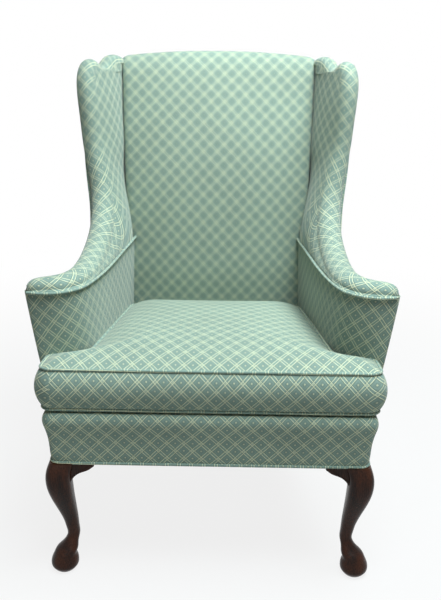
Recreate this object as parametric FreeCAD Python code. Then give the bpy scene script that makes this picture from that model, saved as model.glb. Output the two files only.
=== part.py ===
import FreeCAD, Part
import os
from math import cos, hypot, radians, sin, tan

# A wing armchair facing -Y with the floor at z = 0, in millimetres and degrees.
# The right-hand (+X) piece of each pair is built and mirrored for the left.
V = FreeCAD.Vector
UP = V(0, 0, 1)

# Heights
rail_underside = 271.0
deck_height = 392.0
arm_height = 620.0
wing_peak_height = 1077.0
back_height = 1099.0

# Seat frame in plan
frame_front = -357.0
frame_depth = 548.0
front_half_width = 328.0
rear_half_width = 246.0
seat_slope = 4.8
rail_thickness = 26.0
tenon_thickness = 10.0
tenon_shoulder = 12.0
tenon_length = 28.0
post_tenon_length = 18.0

# Front legs
stump_width = 52.0
knee_half_width = 27.4
ankle_half_width = 13.7
foot_radius = 30.5
foot_base_radius = 23.0
ankle_height = 76.0
knee_height = 232.0
leg_centre_x = 305.0
leg_centre_y = -341.0
knee_swell = 19.6
foot_swell = 18.8
ear_length = 52.0
ear_depth = 38.0
ear_thickness = 30.0

# Back frame, raked, with one-piece rear legs
back_rake = 9.8
post_width = 32.0
post_depth = 42.0
crest_padding = 51.5
rear_foot_setback = 662.0
rear_foot_length = 36.0
crest_rail_width = 52.0
crest_arch = 14.0
back_rail_inset = 14.0
tack_rail_gap = 14.0
tack_rail_width = 40.0

# Arms
arm_board_thickness = 25.0
arm_board_margin = 9.0
arm_post_length = 50.0
arm_post_thickness = 16.0
arm_post_setback = 142.0
arm_tack_rail_width = 26.0
arm_gap_rear = 225.0
arm_gap_front = 265.0
arm_lean_rear = 20.0
arm_lean_front = 7.0
arm_outer_half = 314.0
scroll_setback = 165.0
scroll_tip_half = 389.0
scroll_lip = 21.0
neck_setback = 227.0
bend_lead = 86.0
arm_crest = 18.0
arm_sweep_rise = 92.0

# Wings
wing_flare = 21.0
wing_splay = 0.03
wing_thickness = 46.0
wing_offset = 279.0
wing_lead = 44.5
wing_rear = -94.0
wing_low_rise = 115.0
wing_high_drop = 62.0
wing_rail_drop = 42.0
wing_post_setback = 40.0
wing_post_width = 32.0
wing_inner_roll = 28.0
wing_outer_roll = 9.0
wing_depth_low = 104.0
wing_bow = 5.0
wing_depth_top = 136.0
wing_rail_width = 40.0
wing_frame_thickness = 20.0

# Upholstery
border_thickness = 11.5
border_bulge = 9.0
panel_thickness = 4.0
deck_pad_thickness = 12.0
webbing_width = 50.0
webbing_thickness = 2.5
seat_strap_count = 5
back_strap_count = 3
strap_grip = 22.0
back_strap_grip = 4.0
back_padding = 75.5
back_padding_seat = 49.6
back_padding_foot = 18.0
crown_side = 36.0
crown_top = 17.0
back_half_low = 237.0
outside_back_mid_half = 264.0
outside_back_top_half = 272.0
welt_radius = 3.0
welt_sides = 6
soft_gap = 0.3
dust_cover_thickness = 1.5

# Loose cushion
cushion_rear_half = 226.0
cushion_front_half = 262.0
ear_half_width = 347.0
cushion_rear_gap = 34.0
cushion_ear_length = 89.0
boxing_bottom = 8.0
boxing_top = 106.0
boxing_bulge = 7.0
crown_height = 136.0
crown_radius = 3000.0
core_inset = 16.0
core_thickness = 84.0
zip_length = 400.0
zip_width = 24.0
zip_thickness = 3.0


def mixed(low, high, share):
    return low + (high - low) * share


# Sizes that follow from those above
rake = tan(radians(back_rake))
post_height = (back_height - crest_padding - rail_underside) / cos(radians(back_rake))
back_front = frame_front + frame_depth
border_front = frame_front - border_thickness
border_half = front_half_width + border_thickness - 1.0
border_rear = frame_front + stump_width + 20.0
side_slope = (front_half_width - rear_half_width + 2.0) / frame_depth
rail_drop = deck_pad_thickness + 2 * webbing_thickness
wing_middle = mixed(arm_height, wing_peak_height, 0.547)
wing_low = arm_height + wing_low_rise
wing_high = wing_peak_height - wing_high_drop
cushion_front = border_front + 0.5
cushion_notch = cushion_front + cushion_ear_length
cushion_rear = back_front - cushion_rear_gap
scroll_radius = 20.0 / 31.0 * (scroll_tip_half - arm_gap_front)
neck_y = frame_front + neck_setback
bend_y = back_front - bend_lead
reach = 2000.0
centring = 9.5


def line(a, b):
    return Part.LineSegment(a, b).toShape()


def arc(a, middle, b):
    return Part.Arc(a, middle, b).toShape()


# An arc drawn as straight lines keeps the lofted faces light
def chords(a, middle, b, count):
    curve = arc(a, middle, b)
    first, last = curve.FirstParameter, curve.LastParameter
    marks = [curve.valueAt(mixed(first, last, i / count)) for i in range(count + 1)]
    return [line(p, q) for p, q in zip(marks, marks[1:])]


def largest(shape):
    return max(shape.Solids, key=lambda solid: solid.Volume)


def closed_path(points):
    return Part.Wire([line(a, b) for a, b in zip(points, points[1:] + points[:1])])


# A solid skinned with flat faces over a row of straight-sided sections
def skinned(sections):
    rings = [[v.Point for v in section.OrderedVertexes] for section in sections]
    faces = [Part.Face(closed_path(rings[0])), Part.Face(closed_path(rings[-1]))]
    for low, high in zip(rings, rings[1:]):
        for i in range(len(low)):
            a, b, c, d = low[i - 1], low[i], high[i], high[i - 1]
            normal = (b - a).cross(c - a)
            if abs(normal.normalize().dot(d - a)) < 0.00001:
                faces.append(Part.Face(closed_path([a, b, c, d])))
            else:
                faces.append(Part.Face(closed_path([a, b, c])))
                faces.append(Part.Face(closed_path([a, c, d])))
    shell = Part.makeShell(faces)
    shell.sewShape()
    solid = Part.makeSolid(shell)
    return solid if solid.Volume > 0 else solid.reversed()


def box(x0, x1, y0, y1, z0, z1):
    return Part.makeBox(x1 - x0, y1 - y0, z1 - z0, V(x0, y0, z0))


def plan_prism(points, z0, z1):
    flat = [V(x, y, z0) for x, y in points]
    return Part.Face(closed_path(flat)).extrude(V(0, 0, z1 - z0))


def mirrored(shape):
    return shape.mirror(V(0, 0, 0), V(1, 0, 0))


def tube(path, radius):
    start = path.Edges[0]
    centre = start.valueAt(start.FirstParameter)
    heading = start.tangentAt(start.FirstParameter)
    side = heading.cross(UP)
    if side.Length < 0.5:
        side = heading.cross(V(0, 1, 0))
    side.normalize()
    lift = side.cross(heading)
    corners = []
    for i in range(welt_sides):
        angle = radians(360.0 * (i + 0.5) / welt_sides)
        corners.append(centre + side * (radius * cos(angle)) + lift * (radius * sin(angle)))
    return path.makePipeShell([closed_path(corners)], True, False)


# Seat plane: everything on the deck is built level and tipped back about its front edge
def on_seat(shape):
    return shape.rotated(V(0, border_front, deck_height), V(1, 0, 0), -seat_slope)


def above_seat(depth):
    return on_seat(box(-reach, reach, -reach, reach, deck_height - depth, deck_height + reach))


def below_seat(depth):
    return on_seat(box(-reach, reach, -reach, reach, deck_height - reach, deck_height - depth))


# Back plane: everything on the back frame is built upright and raked about its foot
def on_back(shape):
    return shape.rotated(V(0, back_front, rail_underside), V(1, 0, 0), -back_rake)


def back_point(depth, height):
    lean = radians(back_rake)
    y = back_front + depth * cos(lean) + height * sin(lean)
    z = rail_underside - depth * sin(lean) + height * cos(lean)
    return y, z


def behind_back(depth):
    return on_back(box(-reach, reach, back_front + depth, back_front + reach, -reach, reach))


def side_point(along, inward):
    run = hypot(1.0, side_slope)
    x = front_half_width - (along * side_slope + inward) / run
    y = frame_front + (along - inward * side_slope) / run
    return x, y


def side_board(start, end, near, far, z0, z1):
    corners = [side_point(start, near), side_point(end, near), side_point(end, far), side_point(start, far)]
    return plan_prism(corners, z0, z1)


# Front legs: a cabriole loft from the pad foot to the knee, under a square stump
def rounded_square(x, y, z, half, radius):
    r = min(radius, half - 0.5)
    nip = r * (1 - cos(radians(45)))
    edges = []
    for turn in range(4):
        c, s = [(1, 0), (0, 1), (-1, 0), (0, -1)][turn]

        def corner(u, v):
            return V(x + u * c - v * s, y + u * s + v * c, z)
        edges.append(line(corner(half, -(half - r)), corner(half, half - r)))
        edges += chords(corner(half, half - r), corner(half - nip, half - nip), corner(half - r, half), 2)
    return Part.Wire(edges)


def leg_section(z, swell, half, radius):
    return rounded_square(leg_centre_x + swell, leg_centre_y - swell, z, half, radius)


def ease(t):
    return t * t * (3 - 2 * t)


def cabriole():
    corner = 0.68 * ankle_half_width
    sections = []
    for share in (0, 0.1, 0.25, 0.48):
        half = foot_radius - (foot_radius - foot_base_radius) * (1 - share / 0.22) ** 2
        if share > 0.22:
            half = foot_radius - 5.5 * ((share - 0.22) / 0.28) ** 2
        sections.append(leg_section(share * ankle_height, foot_swell * (1 - 0.35 * share ** 2), half, 0.9 * half))
    for share in (0.7, 0.86):
        part = ease((1 - share) / 0.62)
        half = ankle_half_width + (foot_radius - ankle_half_width) * part ** 1.3
        sections.append(leg_section(share * ankle_height, foot_swell * part, half, 0.8 * half))
    for share in (0, 0.25, 0.45, 0.65, 0.83, 1):
        part = ease(share ** 1.05)
        z = ankle_height + share * (knee_height - ankle_height)
        half = ankle_half_width + (knee_half_width - ankle_half_width) * part
        sections.append(leg_section(z, knee_swell * part, half, corner))
    for share in (0.6, 1):
        z = knee_height + share * (rail_underside - knee_height)
        sections.append(leg_section(z, knee_swell * (1 - 0.55 * share ** 2), knee_half_width, corner))
    return skinned(sections)


def front_stump():
    x0 = front_half_width - stump_width
    block = box(x0, front_half_width, frame_front, frame_front + stump_width, rail_underside, deck_height)
    return block.cut(above_seat(rail_drop))


def front_leg(rails):
    leg = cabriole().fuse(front_stump())
    for rail in rails:
        leg = leg.cut(rail)
    return leg.removeSplitter()


def knee_ear(leg):
    x1 = leg_centre_x
    x0 = x1 + knee_swell - knee_half_width - ear_length
    z1 = rail_underside
    y0 = frame_front - 0.5 * border_thickness - 4
    tip = V(x0, y0, z1)
    heel = V(x0 + 2, y0, z1 - 0.24 * ear_depth)
    root = V(x1, y0, z1 - 1.1 * ear_depth)
    bend = V(0.55 * heel.x + 0.45 * root.x, y0, z1 - 0.5 * ear_depth)
    outline = Part.Wire([line(tip, heel), arc(heel, bend, root), line(root, V(x1, y0, z1)), line(V(x1, y0, z1), tip)])
    ear = Part.Face(outline).extrude(V(0, ear_thickness, 0))
    return ear.cut(leg)


def knee_blocks(leg):
    front = knee_ear(leg)
    centre = V(leg_centre_x, leg_centre_y, 0)
    side = front.mirror(centre, V(1, 1, 0))
    return Part.makeCompound([front, side.cut(leg)])


# Rails with tenons
def front_rail():
    inner = front_half_width - stump_width
    y0 = frame_front
    rail = box(-inner, inner, y0, y0 + rail_thickness, rail_underside, deck_height)
    tenon_y = y0 + 0.5 * (rail_thickness - tenon_thickness)
    z0 = rail_underside + tenon_shoulder
    z1 = deck_height - rail_drop - 2 * tenon_shoulder
    long = inner + tenon_length
    tenon = box(-long, long, tenon_y, tenon_y + tenon_thickness, z0, z1)
    return rail.cut(above_seat(rail_drop)).fuse(tenon).removeSplitter()


def side_rail():
    start = stump_width * hypot(1, side_slope)
    end = frame_depth * 1.1
    rail = side_board(start, end, 0, rail_thickness, rail_underside, deck_height)
    rail = rail.cut(above_seat(rail_drop)).cut(behind_back(0))
    rail = rail.cut(box(0, reach, -reach, frame_front + stump_width, 0, reach))
    low = rail_underside + tenon_shoulder
    near = 0.5 * (rail_thickness - tenon_thickness)
    tenon = side_board(start - tenon_length, end, near, near + tenon_thickness, low, deck_height)
    tenon = tenon.cut(above_seat(rail_drop + tenon_shoulder)).cut(behind_back(post_tenon_length))
    return rail.fuse(tenon).removeSplitter()


def back_rail():
    inner = rear_half_width - post_width
    y0 = back_front + back_rail_inset
    rail = on_back(box(-inner, inner, y0, back_front + post_depth - 2, rail_underside, deck_height))
    rail = rail.cut(above_seat(rail_drop))
    long = inner + post_tenon_length
    z0 = rail_underside + tenon_shoulder
    tenon = on_back(box(-long, long, y0 + 8, y0 + 8 + tenon_thickness, z0, deck_height))
    return rail.fuse(tenon.cut(above_seat(rail_drop + tenon_shoulder))).removeSplitter()


# Back frame
def rear_post(rails):
    a = back_point(0, 0)
    b = back_point(0, post_height)
    c = back_point(post_depth, post_height)
    d = back_point(post_depth, 0)
    foot = frame_front + rear_foot_setback
    heel = foot + rear_foot_length / 2
    toe = foot - rear_foot_length / 2
    rear_sweep = d[0] + 0.26 * (heel - d[0])
    front_sweep = a[0] + 0.26 * (toe - a[0])
    x0 = rear_half_width - post_width

    def at(p):
        return V(x0, p[0], p[1])
    edges = [
        line(at(a), at(b)),
        line(at(b), at(c)),
        line(at(c), at(d)),
        arc(at(d), V(x0, rear_sweep, 0.5 * d[1]), V(x0, heel, 0)),
        line(V(x0, heel, 0), V(x0, toe, 0)),
        arc(V(x0, toe, 0), V(x0, front_sweep, 0.5 * a[1]), at(a)),
    ]
    post = Part.Face(Part.Wire(edges)).extrude(V(post_width, 0, 0))
    for rail in rails:
        post = post.cut(rail)
    return post.removeSplitter()


def crest_rail():
    inner = rear_half_width - post_width
    top = rail_underside + post_height
    y0 = back_front
    z0 = top - crest_rail_width
    outline = Part.Wire([
        line(V(-inner, y0, z0), V(inner, y0, z0)),
        line(V(inner, y0, z0), V(inner, y0, top)),
        arc(V(inner, y0, top), V(0, y0, top + crest_arch), V(-inner, y0, top)),
        line(V(-inner, y0, top), V(-inner, y0, z0)),
    ])
    rail = Part.Face(outline).extrude(V(0, rail_thickness, 0))
    long = inner + post_tenon_length
    near = y0 + 0.5 * (rail_thickness - tenon_thickness)
    tenon = box(-long, long, near, near + tenon_thickness, z0 + tenon_shoulder, top - tenon_shoulder)
    return on_back(rail.fuse(tenon)).removeSplitter()


def back_tack_rail():
    inner = rear_half_width - post_width
    z0 = deck_height + tack_rail_gap
    y0 = back_front
    rail = box(-inner, inner, y0, y0 + rail_thickness, z0, z0 + tack_rail_width)
    near = y0 + 0.5 * (rail_thickness - tenon_thickness)
    long = inner + post_tenon_length
    tenon = box(-long, long, near, near + tenon_thickness, z0 + 8, z0 + tack_rail_width - 8)
    return on_back(rail.fuse(tenon)).removeSplitter()


# Corner blocks brace the rails behind the legs
def corner_blocks(legs):
    inner = front_half_width - stump_width
    size = 70.0
    z1 = rail_underside + 40
    y0 = frame_front + rail_thickness
    front = plan_prism([(inner - size, y0), (inner + 20, y0), (inner + 20, y0 + size + 30)], rail_underside + 8, z1)
    y1 = back_point(0, 0)[0] + 12
    x1 = rear_half_width - post_width - 2
    rear = plan_prism([(x1 - size, y1), (x1 + 30, y1), (x1 + 30, y1 - size)], rail_underside + 8, z1)
    blocks = []
    for block in [front, rear]:
        block = block.cut(above_seat(rail_drop))
        for other in legs:
            block = block.cut(other)
        blocks.append(block)
    return Part.makeCompound(blocks + [mirrored(b) for b in blocks])


# Woven webbing: straps one way lie flat and those across pass over and under them
def flat_strap(x, y0, y1, z):
    half = webbing_width / 2
    return box(x - half, x + half, y0, y1, z, z + webbing_thickness)


def woven_strap(y, x0, x1, crossings, z, first):
    half = webbing_width / 2
    t = webbing_thickness
    heights = [(x0, z), (x0 + strap_grip, z)]
    for index, x in enumerate(crossings):
        level = z + t if (index + first) % 2 else z - t
        heights += [(x - half, level), (x + half, level)]
    heights += [(x1 - strap_grip, z), (x1, z)]
    near = y - half
    lower = [V(x, near, h) for x, h in heights]
    upper = [V(x, near, h + t) for x, h in reversed(heights)]
    return Part.Face(closed_path(lower + upper)).extrude(V(0, webbing_width, 0))


def even_places(start, end, count):
    step = (end - start) / count
    return [start + step * (i + 0.5) for i in range(count)]


def seat_webbing():
    z = deck_height - rail_drop
    half = rear_half_width - post_width
    lengthwise = even_places(-half, half, seat_strap_count)
    y0 = frame_front + 0.2 * rail_thickness
    y1 = back_front + back_rail_inset + 8
    straps = [flat_strap(x, y0, y1, z) for x in lengthwise]
    for index, y in enumerate(even_places(y0 + rail_thickness, y1 - rail_thickness, seat_strap_count)):
        half = front_half_width - (y - frame_front) * side_slope - arm_post_thickness - 3
        straps.append(woven_strap(y, -half, half, lengthwise, z, index))
    return Part.makeCompound([on_seat(s) for s in straps])


def back_webbing():
    inner = rear_half_width - post_width
    z0 = deck_height + tack_rail_gap + 6
    z1 = rail_underside + post_height - 40
    upright = even_places(-inner + 12, inner - 12, back_strap_count)
    straps = [flat_strap(x, z0, z1, 0) for x in upright]
    across = even_places(z0 + tack_rail_width, z1 - crest_rail_width, back_strap_count + 1)
    for index, h in enumerate(across):
        straps.append(woven_strap(h, -inner - back_strap_grip, inner + back_strap_grip, upright, 0, index))
    return Part.makeCompound([on_back(stood_up(s)) for s in straps])


def stood_up(strap):
    upright = strap.rotated(V(0, 0, 0), V(1, 0, 0), 90)
    return upright.translated(V(0, back_front, 0))


# Inside back: crowned sections side to side, rolled over the crest
def back_half(z):
    return back_half_low + wing_splay * (z - deck_height - 61)


def back_section(s):
    fall = abs(s) ** 2.3
    top = back_height - 15 * fall

    def at(padding, share, crown):
        y, z = back_point(-padding, share * post_height)
        return V(s * back_half(z), y + crown * fall, z)
    roll_y, roll_z = back_point(post_depth, post_height - 6)
    under_y, under_z = back_point(post_depth, post_height - 40)
    step_y, step_z = back_point(-2 * webbing_thickness, post_height - 40)
    foot_z = deck_height - (back_front - border_front) * tan(radians(seat_slope)) - 8
    foot_y = back_front + rake * (foot_z - rail_underside) - 2.2 * webbing_thickness
    front_y = back_front + rake * (foot_z - rail_underside) - back_padding_foot
    low = V(s * back_half(foot_z), front_y + 8 * fall, foot_z)
    seat = at(back_padding_seat, 0.245, 0.8 * crown_side)
    waist = at(mixed(back_padding_seat, back_padding, 0.6), 0.397, crown_side)
    lumbar = at(back_padding, 0.549, crown_side)
    chest = at(back_padding, 0.723, crown_side)
    shoulder = at(0.74 * back_padding, 0.894, mixed(crown_side, crown_top, 0.25))
    nape = at(0.62 * back_padding, 0.967, mixed(crown_side, crown_top, 0.6))
    brow = at(0.48 * back_padding, 1.021, crown_top)
    crown = V(s * back_half(top), 0.5 * (brow.y + roll_y), top)
    roll = V(s * back_half(roll_z), roll_y, roll_z)
    under = V(s * back_half(under_z), under_y, under_z)
    step = V(s * back_half(step_z), step_y, step_z)
    foot = V(s * back_half(foot_z), foot_y, foot_z)
    edges = [line(low, seat)]
    edges += chords(seat, waist, lumbar, 2)
    edges += chords(lumbar, chest, shoulder, 3)
    edges += chords(shoulder, nape, brow, 2)
    edges += chords(brow, crown, roll, 4)
    edges += [line(roll, under), line(under, step), line(step, foot), line(foot, low)]
    return Part.Wire(edges)


def inside_back(frame):
    sections = [back_section(s) for s in (-1, -0.66, -0.33, 0, 0.33, 0.66, 1)]
    pad = Part.makeLoft(sections, True, True)
    for piece in frame:
        pad = pad.cut(piece).cut(mirrored(piece))
    return largest(pad)


def outside_back():
    top = rail_underside + post_height - 45
    y0 = back_front + post_depth
    corners = [(rear_half_width + 3, rail_underside + 8), (outside_back_mid_half, arm_height)]
    corners.append((outside_back_top_half, top))
    corners += [(-x, z) for x, z in reversed(corners)]
    face = Part.Face(closed_path([V(x, y0, z) for x, z in corners]))
    return on_back(face.extrude(V(0, panel_thickness, 0)))


# Wings: a slab in a flared, raked plane with its front edge rolled
def wing_point(depth, z):
    flare = radians(wing_flare)
    x = wing_offset + wing_splay * (z - wing_middle) + depth * sin(flare)
    y = back_front + rake * (z - rail_underside) - wing_lead - depth * cos(flare)
    return V(x, y, z)


def wing_normal():
    forward = wing_point(1, arm_height) - wing_point(0, arm_height)
    upward = wing_point(0, arm_height + 1) - wing_point(0, arm_height)
    normal = forward.cross(upward)
    return normal.normalize()


def wing_outline(margin, bottom):
    rear = wing_rear
    top = wing_peak_height - margin
    low = wing_point(wing_depth_low - margin, wing_low)
    high = wing_point(wing_depth_top - margin, wing_high)
    middle_depth = 0.5 * (wing_depth_low + wing_depth_top) + wing_bow
    mid = wing_point(middle_depth - margin, 0.5 * (wing_low + wing_high))
    peak = wing_point(0.66 * wing_depth_top, top)
    brow = wing_point(0.925 * wing_depth_top - 0.85 * margin, wing_peak_height - 18 - 0.55 * margin)
    saddle = wing_point(0.33 * wing_depth_top, top - 13)
    shoulder = wing_point(0, top - 2)
    front_foot = wing_point(wing_depth_low - margin - 4, bottom)
    rear_foot = wing_point(rear, bottom)
    rear_top = wing_point(rear, top - 8)
    edges = [line(rear_foot, front_foot), line(front_foot, low)]
    edges += chords(low, mid, high, 3)
    edges += chords(high, brow, peak, 4)
    edges += chords(peak, saddle, shoulder, 4)
    edges += [line(shoulder, rear_top), line(rear_top, rear_foot)]
    return Part.Wire(edges)


def slab(outline, near, far):
    normal = wing_normal()
    face = Part.Face(outline)
    face.translate(normal * near)
    return face.extrude(normal * (far - near))


def above_arm(shape):
    return shape.cut(box(-reach, reach, -reach, reach, 0, arm_height))


def wing_bar(points, thickness):
    corners = [wing_point(s, z) for s, z in points]
    return above_arm(slab(closed_path(corners), -thickness / 2, thickness / 2))


def wing_post():
    s = wing_depth_low - wing_post_setback
    half = wing_post_width / 2
    foot = arm_height - 10
    top = wing_peak_height - wing_rail_drop
    return wing_bar([(s - half, foot), (s + half, foot), (s + half, top), (s - half, top)],
                    wing_frame_thickness)


def wing_top_rail():
    front = wing_depth_low - wing_post_setback - wing_post_width / 2
    rear = 0.53 * wing_rear
    top = wing_peak_height - wing_rail_drop
    low = top - wing_rail_width
    return wing_bar([(rear, low), (front, low), (front, top), (rear, top)], wing_frame_thickness)


def rolled_slab():
    half = wing_thickness / 2
    normal = wing_normal()
    rings = []
    for angle in (0, 30, 60, 90):
        turn = radians(angle)
        depth = half - wing_outer_roll * (1 - sin(turn))
        rings.append((-depth, wing_outer_roll * (1 - cos(turn))))
    rings.reverse()
    for angle in (0, 30, 60, 90):
        turn = radians(angle)
        depth = half - wing_inner_roll * (1 - sin(turn))
        rings.append((depth, wing_inner_roll * (1 - cos(turn))))
    sections = []
    for depth, margin in rings:
        outline = wing_outline(margin, arm_height - 10)
        outline.translate(normal * depth)
        sections.append(outline)
    return above_arm(Part.makeLoft(sections, True, True))


# Arms: one outline in plan at the rail and one under the arm top, with ruled sides between them
def arm_corners(level, z, skin):
    scroll_y = frame_front + scroll_setback
    gap_rear = arm_gap_rear + arm_lean_rear * (1 - level)
    gap_front = arm_gap_front + arm_lean_front * (1 - level)
    turn = radians(mixed(45, 100, level))
    radius = scroll_radius - 5 * (1 - level)
    centre = V(gap_front + radius, scroll_y + 22 * (1 - level), z)

    def low_side(y):
        return border_half - (y - border_front) * side_slope
    rear_y = back_front + post_depth + 60
    run = rear_y - scroll_y
    inner_x = gap_rear + (gap_rear - gap_front) * (rear_y - back_front + 21) / run
    lip_half = scroll_tip_half - scroll_lip
    low_lip = low_side(frame_front + 109)
    return {
        "inner_rear": V(inner_x, rear_y, z),
        "scroll_start": centre + V(-radius, 0, 0),
        "scroll_mid": centre + V(-radius * cos(turn / 2), -radius * sin(turn / 2), 0),
        "scroll_end": centre + V(-radius * cos(turn), -radius * sin(turn), 0),
        "tip": V(mixed(border_half, scroll_tip_half, level), frame_front + mixed(77, 91, level), z),
        "tip_mid": V(mixed(border_half + 2, scroll_tip_half + 3.5, level), frame_front + mixed(93, 110, level), z),
        "tip_back": V(mixed(low_lip + 4, lip_half, level) - skin, frame_front + mixed(109, 125, level), z),
        "neck_mid": V(mixed(low_side(neck_y - 70), arm_outer_half + 8, level) - skin, neck_y - mixed(70, 65, level), z),
        "neck": V(mixed(low_side(neck_y), arm_outer_half + 4, level) - skin, neck_y, z),
        "bend": V(mixed(low_side(bend_y), arm_outer_half, level) - skin, bend_y, z),
        "outer_rear": V(mixed(low_side(rear_y), outside_back_mid_half + 4, level) - skin, rear_y, z),
    }


def arm_wire(level, z, skin):
    c = arm_corners(level, z, skin)
    edges = [line(c["inner_rear"], c["scroll_start"])]
    edges += chords(c["scroll_start"], c["scroll_mid"], c["scroll_end"], 5)
    edges.append(line(c["scroll_end"], c["tip"]))
    edges += chords(c["tip"], c["tip_mid"], c["tip_back"], 3)
    edges += chords(c["tip_back"], c["neck_mid"], c["neck"], 4)
    edges += [line(c["neck"], c["bend"]), line(c["bend"], c["outer_rear"])]
    edges.append(line(c["outer_rear"], c["inner_rear"]))
    return Part.Wire(edges)


def inside_arm(frame):
    low = deck_height - 62
    level = (low - rail_underside) / (arm_height - rail_underside)
    skin = panel_thickness + soft_gap
    pad = Part.makeLoft([arm_wire(level, low, skin), arm_wire(1, arm_height, skin)], True, True)
    pad = pad.cut(below_seat(deck_pad_thickness)).cut(behind_back(0))
    for piece in frame:
        pad = pad.cut(piece)
    return pad


def outer_wire(level, z):
    c = arm_corners(level, z, 0)
    d = arm_corners(level, z, panel_thickness)
    edges = chords(c["tip_back"], c["neck_mid"], c["neck"], 4)
    edges += [line(c["neck"], c["bend"]), line(c["bend"], c["outer_rear"])]
    edges.append(line(c["outer_rear"], d["outer_rear"]))
    edges += [line(d["outer_rear"], d["bend"]), line(d["bend"], d["neck"])]
    edges += chords(d["neck"], d["neck_mid"], d["tip_back"], 4)
    edges.append(line(d["tip_back"], c["tip_back"]))
    return Part.Wire(edges)


def outside_arm(post):
    panel = Part.makeLoft([outer_wire(0, rail_underside), outer_wire(1, arm_height)], True, True)
    return panel.cut(behind_back(post_depth)).cut(post)


def arm_board():
    c = arm_corners(1, arm_height - arm_board_thickness, 0)
    m = arm_board_margin
    outline = [
        (c["inner_rear"].x + m, c["inner_rear"].y),
        (c["scroll_start"].x + m, c["scroll_start"].y),
        (c["scroll_mid"].x + m, c["scroll_mid"].y + m),
        (c["scroll_end"].x, c["scroll_end"].y + 1.5 * m),
        (c["tip"].x - 2 * m, c["tip"].y + 1.5 * m),
        (c["tip_back"].x - 1.5 * m, c["tip_back"].y - 0.5 * m),
        (c["neck_mid"].x - 1.5 * m, c["neck_mid"].y - 0.5 * m),
        (c["neck"].x - 1.5 * m, c["neck"].y),
        (c["bend"].x - 1.5 * m, c["bend"].y),
        (c["outer_rear"].x - 1.5 * m, c["outer_rear"].y),
    ]
    board = plan_prism(outline, arm_height - arm_board_thickness, arm_height)
    return board.cut(behind_back(0))


def arm_post():
    start = arm_post_setback
    z0 = deck_height - 60
    z1 = arm_height - arm_board_thickness
    post = side_board(start, start + arm_post_length, 0, arm_post_thickness, z0, z1)
    return post.cut(below_seat(rail_drop))


def arm_tack_rail(post):
    z0 = deck_height + 6
    start = arm_post_setback + arm_post_length
    rail = side_board(start, frame_depth * 1.2, -4, 10, z0 - 40, z0 + arm_tack_rail_width)
    return rail.cut(below_seat(-6)).cut(behind_back(0)).cut(post)


def arm_crest_at(y):
    run = (y - frame_front - 95) / (0.905 * (frame_depth - 95))
    return arm_crest + (arm_sweep_rise - arm_crest) * max(run, 0) ** 2


def arm_top_section(inner, outer, rise):
    across = (outer - inner)
    width = across.Length
    across.normalize()
    lean = 0.45 * max(rise - arm_crest, 0) / arm_sweep_rise
    bow = min(0.55 * rise, 0.4 * width * (1 - 0.5 * lean))
    wall = rise - bow
    near = inner + across * (lean * wall) + UP * wall
    far = outer + UP * wall
    top = (near + far) * 0.5 + UP * bow
    edges = [line(inner, near)] + chords(near, top, far, 4)
    return Part.Wire(edges + [line(far, outer), line(outer, inner)])


def arm_top(cutters):
    c = arm_corners(1, arm_height, 0)
    sections = []
    for share in (1, 0.8, 0.6, 0.4, 0.2, 0):
        y = mixed(neck_y, back_front - 1, share)
        part = (y - c["inner_rear"].y) / (c["scroll_start"].y - c["inner_rear"].y)
        inner = mixed(c["inner_rear"], c["scroll_start"], part)
        if y > c["bend"].y:
            part = (y - c["bend"].y) / (c["outer_rear"].y - c["bend"].y)
            outer = mixed(c["bend"], c["outer_rear"], part)
        else:
            part = (y - c["bend"].y) / (c["neck"].y - c["bend"].y)
            outer = mixed(c["bend"], c["neck"], part)
        sections.append(arm_top_section(inner, outer, arm_crest_at(y)))
    scroll = arc(c["scroll_start"], c["scroll_mid"], c["scroll_end"])
    neck = arc(c["neck"], c["neck_mid"], c["tip_back"])
    for part in (0.3, 0.62, 0.95):
        inner = scroll.valueAt(mixed(scroll.FirstParameter, scroll.LastParameter, part))
        outer = neck.valueAt(mixed(neck.FirstParameter, neck.LastParameter, 0.1 + 0.85 * part))
        sections.append(arm_top_section(inner, outer, arm_crest))
    tip = c["tip"] + V(-6, 0, 0)
    sections.append(arm_top_section(tip, c["tip_back"], 0.85 * arm_crest))
    lip = 0.5 * (c["tip"] + c["tip_mid"])
    sections.append(arm_top_section(lip + V(3, 0, 0), c["tip_mid"] + V(-1, 6, 0), 0.3 * arm_crest))
    pad = skinned(sections).cut(behind_back(post_depth))
    for piece in cutters:
        pad = pad.cut(piece)
    return largest(pad)


# Front border: a padded apron round the front rail with a rolled lip
def border_ring(z, swell, drop=0.0):
    half = border_half + swell
    y0 = border_front - swell
    r = 20.0
    nip = r * (1 - cos(radians(45)))
    back = border_rear
    return Part.Wire([
        line(V(-half, back, z), V(-half, y0 + r, z)),
        arc(V(-half, y0 + r, z), V(-half + nip, y0 + nip, z), V(-half + r, y0, z)),
        line(V(-half + r, y0, z), V(half - r, y0, z)),
        arc(V(half - r, y0, z), V(half - nip, y0 + nip, z), V(half, y0 + r, z)),
        line(V(half, y0 + r, z), V(half, back, z)),
        line(V(half, back, z), V(-half, back, z)),
    ])


def seat_envelope():
    corners = [(front_half_width, frame_front), (front_half_width, frame_front + stump_width)]
    corners.append(side_point(frame_depth, 0))
    corners += [(-x, y) for x, y in reversed(corners)]
    block = plan_prism(corners, 0, deck_height + 10)
    return block.cut(above_seat(deck_pad_thickness))


def front_border():
    rise = deck_height - rail_underside
    rings = [
        border_ring(rail_underside, 0),
        border_ring(rail_underside + 0.45 * rise, 0.36 * border_bulge),
        border_ring(rail_underside + 0.78 * rise, border_bulge),
        border_ring(rail_underside + 0.93 * rise, 0.85 * border_bulge),
        border_ring(rail_underside + 1.03 * rise, 0.2 * border_bulge),
    ]
    apron = Part.makeLoft(rings, True, True)
    apron = apron.cut(above_seat(0)).cut(seat_envelope())
    return apron


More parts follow.
